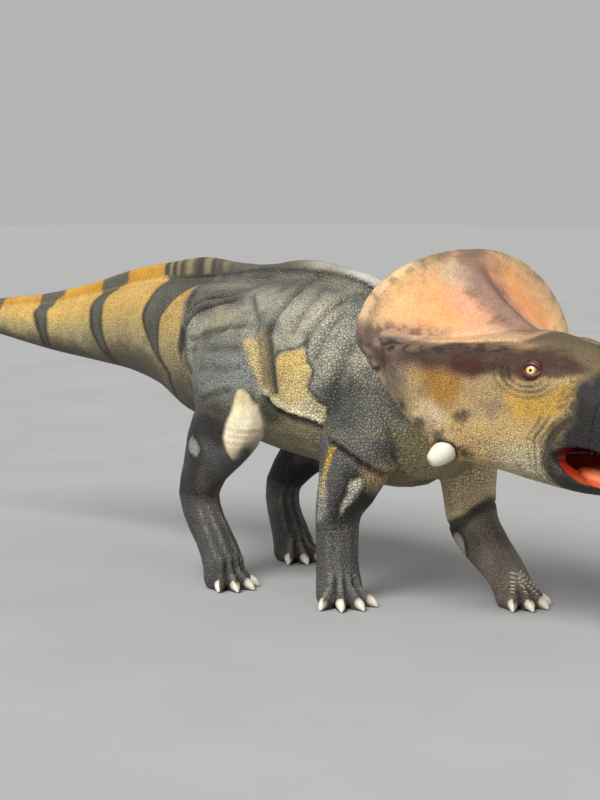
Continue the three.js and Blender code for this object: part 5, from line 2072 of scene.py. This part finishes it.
@dataclass
class Studio:
    """Pale floor, soft light from above on the camera's left, and the camera of the photograph."""

    camera_place: tuple[float, float, float] = (3.01581, -3.12396, 0.85)
    forward: tuple[float, float, float] = (-0.678358, 0.727451, -0.103173)
    lens: float = 84.6
    sensor: float = 36.0
    floor_half: float = 60.0
    key_from: tuple[float, float, float] = (0.25, -0.9, 1.0)
    key_strength: float = 3.5
    key_spread_deg: float = 35.0
    fill_place: tuple[float, float, float] = (4.4, -1.6, 2.4)
    fill_size: float = 3.0
    fill_power: float = 25.0
    aim: tuple[float, float, float] = (0.1, 0.0, 0.35)
    floor_tones: tuple[str, str] = ("#a6a6a6", "#a1a1a1")
    sky_tone: str = "#fffefc"
    sky_strength: float = 0.46

    def build(self) -> None:
        """Sets up the floor, the lights, the sky and the camera."""
        self.floor()
        self.key()
        self.fill()
        self.sky()
        self.camera()

    def floor(self) -> None:
        """Lays the floor."""
        half = self.floor_half
        mesh = bpy.data.meshes.new("studio_floor")
        corners = [(-half, -half, 0), (half, -half, 0), (half, half, 0), (-half, half, 0)]
        mesh.from_pydata(corners, [], [(0, 1, 2, 3)])
        floor = linked("studio_floor", mesh)
        mesh.materials.append(FloorFinish("studio_floor", *self.floor_tones).make())

    def key(self) -> None:
        """Hangs the broad main light, which comes evenly from above on the camera's left."""
        lamp = bpy.data.lights.new("key_light", "SUN")
        lamp.angle = math.radians(self.key_spread_deg)
        lamp.energy = self.key_strength
        holder = linked("key_light", lamp)
        holder.rotation_euler = (-Vector(self.key_from)).to_track_quat("-Z", "Y").to_euler()

    def fill(self) -> None:
        """Hangs a soft light ahead of the statue that points at it."""
        lamp = bpy.data.lights.new("fill_light", "AREA")
        lamp.size = self.fill_size
        lamp.energy = self.fill_power
        holder = linked("fill_light", lamp)
        holder.location = self.fill_place
        holder.rotation_euler = (Vector(self.aim) - Vector(self.fill_place)).to_track_quat("-Z", "Y").to_euler()

    def sky(self) -> None:
        """Gives the studio an even pale surround."""
        world = bpy.data.worlds.new("studio")
        world.use_nodes = True
        back = world.node_tree.nodes["Background"]
        back.inputs["Color"].default_value = (*linear(self.sky_tone), 1)
        back.inputs["Strength"].default_value = self.sky_strength
        bpy.context.scene.world = world
        bpy.context.scene.view_settings.view_transform = "Standard"

    def camera(self) -> None:
        """Places the camera where the photograph was taken."""
        data = bpy.data.cameras.new("photo_camera")
        data.lens = self.lens
        data.sensor_width = self.sensor
        holder = linked("photo_camera", data)
        forward = Vector(self.forward).normalized()
        right = forward.cross(Vector((0, 0, 1))).normalized()
        turn = Matrix((right, right.cross(forward), -forward)).transposed()
        holder.matrix_world = Matrix.Translation(self.camera_place) @ turn.to_4x4()
        bpy.context.scene.camera = holder


def main() -> None:
    logging.basicConfig(level=logging.INFO, format="%(message)s")
    place = HeadFrame.from_eyes()
    body = BodyHide().build(HideFinish("painted_body_hide", fine=5.2, coarse=6.9, relief=0.28))
    HeadHide(place).build(HideFinish("painted_head_hide", fine=3.7, coarse=5.4, relief=0.22))
    gloss = HornFinish("painted_eye", roughness=0.12, line_spacing=1.5, relief=0.02, coat=1.0)
    lid = HornFinish("painted_lid", roughness=0.4, line_spacing=3.0, relief=0.6)
    for side in ("left", "right"):
        Eye(place, side).build(gloss, lid)
    HornPieces(place).build()
    ToeScutes(body).build(HornFinish("painted_scute", roughness=0.5, line_spacing=2.5, relief=0.4))
    Studio().build()


if __name__ == "__main__":
    main()
